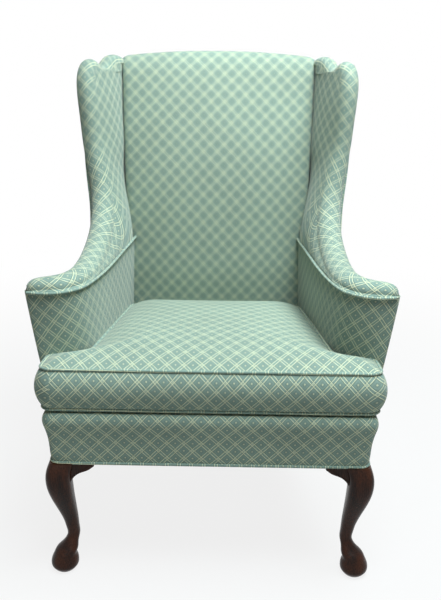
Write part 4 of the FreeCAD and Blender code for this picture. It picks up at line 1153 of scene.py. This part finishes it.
def front_legs():
    """The cabriole legs and the carved brackets beside their knees."""
    rings, cloth = leg_rings()
    for side, sign in SIDES:
        leg = closed_up(surface("cabriole_leg_" + side, on_side(rings, sign), cloth))
        joined(leg, leg_stump(sign))
        finish(leg, "chair_frame", "polished mahogany", "mahogany", "front_leg_" + side)
        ears = joined(knee_ear("knee_ears_" + side, False, sign), knee_ear("knee_ear_side_" + side, True, sign))
        finish(ears, "chair_frame", "polished mahogany", "mahogany", "knee_blocks_" + side)


NODE_FINISH = {
    "rear_post": "polished mahogany", "webbing": "jute webbing", "cushion_zip": "zip tape",
    "zip_slider": "satin brass",
}


def frame_finish():
    """The parts of the frame that keep their own shape get their timber, webbing and metal."""
    for name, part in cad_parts.items():
        looks = [look for key, look in NODE_FINISH.items() if key in name]
        part.data.materials.clear()
        part.data.materials.append(material(looks[-1] if looks else "bare timber"))


# ---------------------------------------------------------------- stage

CAMERA_PLACE = (0.0343, -1.7252 + CENTRING * 0.001, 1.1177)
CAMERA_PITCH, CAMERA_YAW, CAMERA_ROLL = radians(19.24), radians(-0.63), radians(0.6)


def camera():
    """A camera that stands and looks as the photographer's did."""
    ahead = np.array([sin(CAMERA_YAW) * cos(CAMERA_PITCH), cos(CAMERA_YAW) * cos(CAMERA_PITCH), -sin(CAMERA_PITCH)])
    level = np.array([cos(CAMERA_YAW), -sin(CAMERA_YAW), 0.0])
    down = np.cross(ahead, level)
    right = level * cos(CAMERA_ROLL) - down * sin(CAMERA_ROLL)
    below = down * cos(CAMERA_ROLL) + level * sin(CAMERA_ROLL)
    data = bpy.data.cameras.new("camera")
    data.lens = 44.1
    data.sensor_width = 36.0
    made = bpy.data.objects.new("camera", data)
    turn = Matrix((right, -below, -ahead)).transposed().to_4x4()
    made.matrix_world = Matrix.Translation(CAMERA_PLACE) @ turn
    bpy.context.collection.objects.link(made)
    bpy.context.scene.camera = made


def lamp(name, place, target, size, power, tint):
    """A soft rectangular lamp turned towards a target."""
    data = bpy.data.lights.new(name, "AREA")
    data.shape = "RECTANGLE"
    data.size, data.size_y = size
    data.energy = power
    data.color = tint
    made = bpy.data.objects.new(name, data)
    made.rotation_euler = (Vector(place) - Vector(target)).to_track_quat("Z", "Y").to_euler()
    made.location = place
    bpy.context.collection.objects.link(made)


def seen_plainly(tree):
    """1 where the camera looks straight at something, or through glass, or at its reflection, and 0 for its light."""
    path = node(tree, "ShaderNodeLightPath")
    seen = calc(tree, "MAXIMUM", path.outputs["Is Camera Ray"], path.outputs["Is Glossy Ray"])
    return calc(tree, "MAXIMUM", seen, path.outputs["Is Transmission Ray"])


def white_floor():
    """A pale floor that keeps the chair's shadow and fades to white away from it."""
    deselect()
    bpy.ops.mesh.primitive_plane_add(size=16.0, location=(0, 3.0, -0.0004))
    floor = bpy.context.object
    floor.name = "floor"
    made, tree, shader = blank("pale floor", Roughness=0.9)
    speck = noise(tree, 40.0, 3.0)
    tree.links.new(mixed(tree, speck, (0.48, 0.48, 0.475, 1.0), (0.52, 0.52, 0.515, 1.0)), shader.inputs["Base Color"])
    place = node(tree, "ShaderNodeTexCoord").outputs["Object"]
    away = node(tree, "ShaderNodeVectorMath", {"operation": "DISTANCE"}, i0=place, i1=(0.0, -2.9, 0.0)).outputs["Value"]
    share = calc(tree, "MULTIPLY", seen_plainly(tree), fade(tree, away, 0.5, 2.2, 0.84, 1.0))
    white = node(tree, "ShaderNodeEmission", Color=(1.0, 1.0, 1.0, 1.0), Strength=1.0)
    both = node(tree, "ShaderNodeMixShader", Fac=share, i1=shader.outputs[0], i2=white.outputs[0])
    tree.links.new(both.outputs[0], tree.nodes["Material Output"].inputs["Surface"])
    floor.data.materials.append(made)


def studio_world():
    """Soft warm light from all round, and white where it is looked at."""
    world = bpy.data.worlds.new("studio")
    world.use_nodes = True
    bpy.context.scene.world = world
    tree = world.node_tree
    tree.nodes.clear()
    soft = node(tree, "ShaderNodeBackground", Color=(1.0, 0.96, 0.80, 1.0), Strength=0.105)
    white = node(tree, "ShaderNodeBackground", Color=(1.0, 1.0, 1.0, 1.0), Strength=1.0)
    both = node(tree, "ShaderNodeMixShader", Fac=seen_plainly(tree), i1=soft.outputs[0], i2=white.outputs[0])
    node(tree, "ShaderNodeOutputWorld", Surface=both.outputs[0])


def stage():
    """Floor, surroundings, camera and lamps."""
    bpy.context.scene.view_settings.view_transform = "Standard"
    white_floor()
    studio_world()
    camera()
    lamp("overhead", (0.55, -0.46, 2.7), (0.0, -0.05, 0.6), (2.0, 1.1), 130.0, (0.85, 0.96, 1.0))
    lamp("front_fill", (-0.6, -3.2, 1.7), (0.0, 0.0, 0.6), (2.4, 1.8), 4.0, (1.0, 0.97, 0.86))
    lamp("rear_fill", (0.4, 3.4, 1.6), (0.0, 0.0, 0.6), (2.6, 2.0), 14.0, (1.0, 0.98, 0.92))


# ---------------------------------------------------------------- add-on

class ARMCHAIR_OT_stage(bpy.types.Operator):
    """Lay the pale floor, hang the soft lights and set up the camera"""
    bl_idname = "armchair.stage"
    bl_label = "Stage"

    def execute(self, context):
        stage()
        return {"FINISHED"}


class ARMCHAIR_OT_frame_finish(bpy.types.Operator):
    """Give the timber frame, webbing and zip their finishes"""
    bl_idname = "armchair.frame_finish"
    bl_label = "Frame finish"

    def execute(self, context):
        frame_finish()
        return {"FINISHED"}


class ARMCHAIR_OT_back(bpy.types.Operator):
    """Cover the back inside and outside"""
    bl_idname = "armchair.back"
    bl_label = "Back"

    def execute(self, context):
        inside_back()
        outside_back()
        return {"FINISHED"}


class ARMCHAIR_OT_wings(bpy.types.Operator):
    """Pad the wings and arm tops in one sweep, with their outer covers and piping"""
    bl_idname = "armchair.wings"
    bl_label = "Wings and arm tops"

    def execute(self, context):
        wings()
        return {"FINISHED"}


class ARMCHAIR_OT_arms(bpy.types.Operator):
    """Cover the arms inside and outside and pipe their scrolled edges"""
    bl_idname = "armchair.arms"
    bl_label = "Arms"

    def execute(self, context):
        arms()
        return {"FINISHED"}


class ARMCHAIR_OT_cushion(bpy.types.Operator):
    """Make the loose T-shaped seat cushion with its filling and piping"""
    bl_idname = "armchair.cushion"
    bl_label = "Seat cushion"

    def execute(self, context):
        cushion()
        return {"FINISHED"}


class ARMCHAIR_OT_border(bpy.types.Operator):
    """Make the padded border round the front of the seat"""
    bl_idname = "armchair.border"
    bl_label = "Front border"

    def execute(self, context):
        border()
        return {"FINISHED"}


class ARMCHAIR_OT_deck(bpy.types.Operator):
    """Make the deck under the cushion and the dust cover under the seat"""
    bl_idname = "armchair.deck"
    bl_label = "Deck and dust cover"

    def execute(self, context):
        deck()
        dust_sheet()
        return {"FINISHED"}


class ARMCHAIR_OT_legs(bpy.types.Operator):
    """Carve the front legs and their knee brackets"""
    bl_idname = "armchair.legs"
    bl_label = "Front legs"

    def execute(self, context):
        front_legs()
        return {"FINISHED"}


OPERATORS = (ARMCHAIR_OT_stage, ARMCHAIR_OT_frame_finish, ARMCHAIR_OT_back, ARMCHAIR_OT_wings, ARMCHAIR_OT_arms,
             ARMCHAIR_OT_cushion, ARMCHAIR_OT_border, ARMCHAIR_OT_deck, ARMCHAIR_OT_legs)


class ARMCHAIR_PT_panel(bpy.types.Panel):
    """Everything that dresses the chair, in the order it is made"""
    bl_idname = "ARMCHAIR_PT_panel"
    bl_label = "Wing armchair"
    bl_space_type = "VIEW_3D"
    bl_region_type = "UI"
    bl_category = "Armchair"

    def draw(self, context):
        column = self.layout.column()
        for group in (context.scene.armchair_cloth, context.scene.armchair_cushion, context.scene.armchair_wood):
            for key in group.__annotations__:
                column.prop(group, key)
        for operator in OPERATORS:
            column.operator(operator.bl_idname)


GROUPS = (("armchair_cloth", ArmchairCloth), ("armchair_cushion", ArmchairCushion), ("armchair_wood", ArmchairWood))


def register():
    for name, group in GROUPS:
        bpy.utils.register_class(group)
        setattr(bpy.types.Scene, name, bpy.props.PointerProperty(type=group))
    for operator in OPERATORS:
        bpy.utils.register_class(operator)
    bpy.utils.register_class(ARMCHAIR_PT_panel)


def unregister():
    bpy.utils.unregister_class(ARMCHAIR_PT_panel)
    for operator in reversed(OPERATORS):
        bpy.utils.unregister_class(operator)
    for name, group in reversed(GROUPS):
        delattr(bpy.types.Scene, name)
        bpy.utils.unregister_class(group)


def main():
    register()
    bpy.ops.armchair.stage()
    bpy.ops.armchair.frame_finish()
    bpy.ops.armchair.back()
    bpy.ops.armchair.wings()
    bpy.ops.armchair.arms()
    bpy.ops.armchair.cushion()
    bpy.ops.armchair.border()
    bpy.ops.armchair.deck()
    bpy.ops.armchair.legs()


if __name__ == "__main__":
    main()
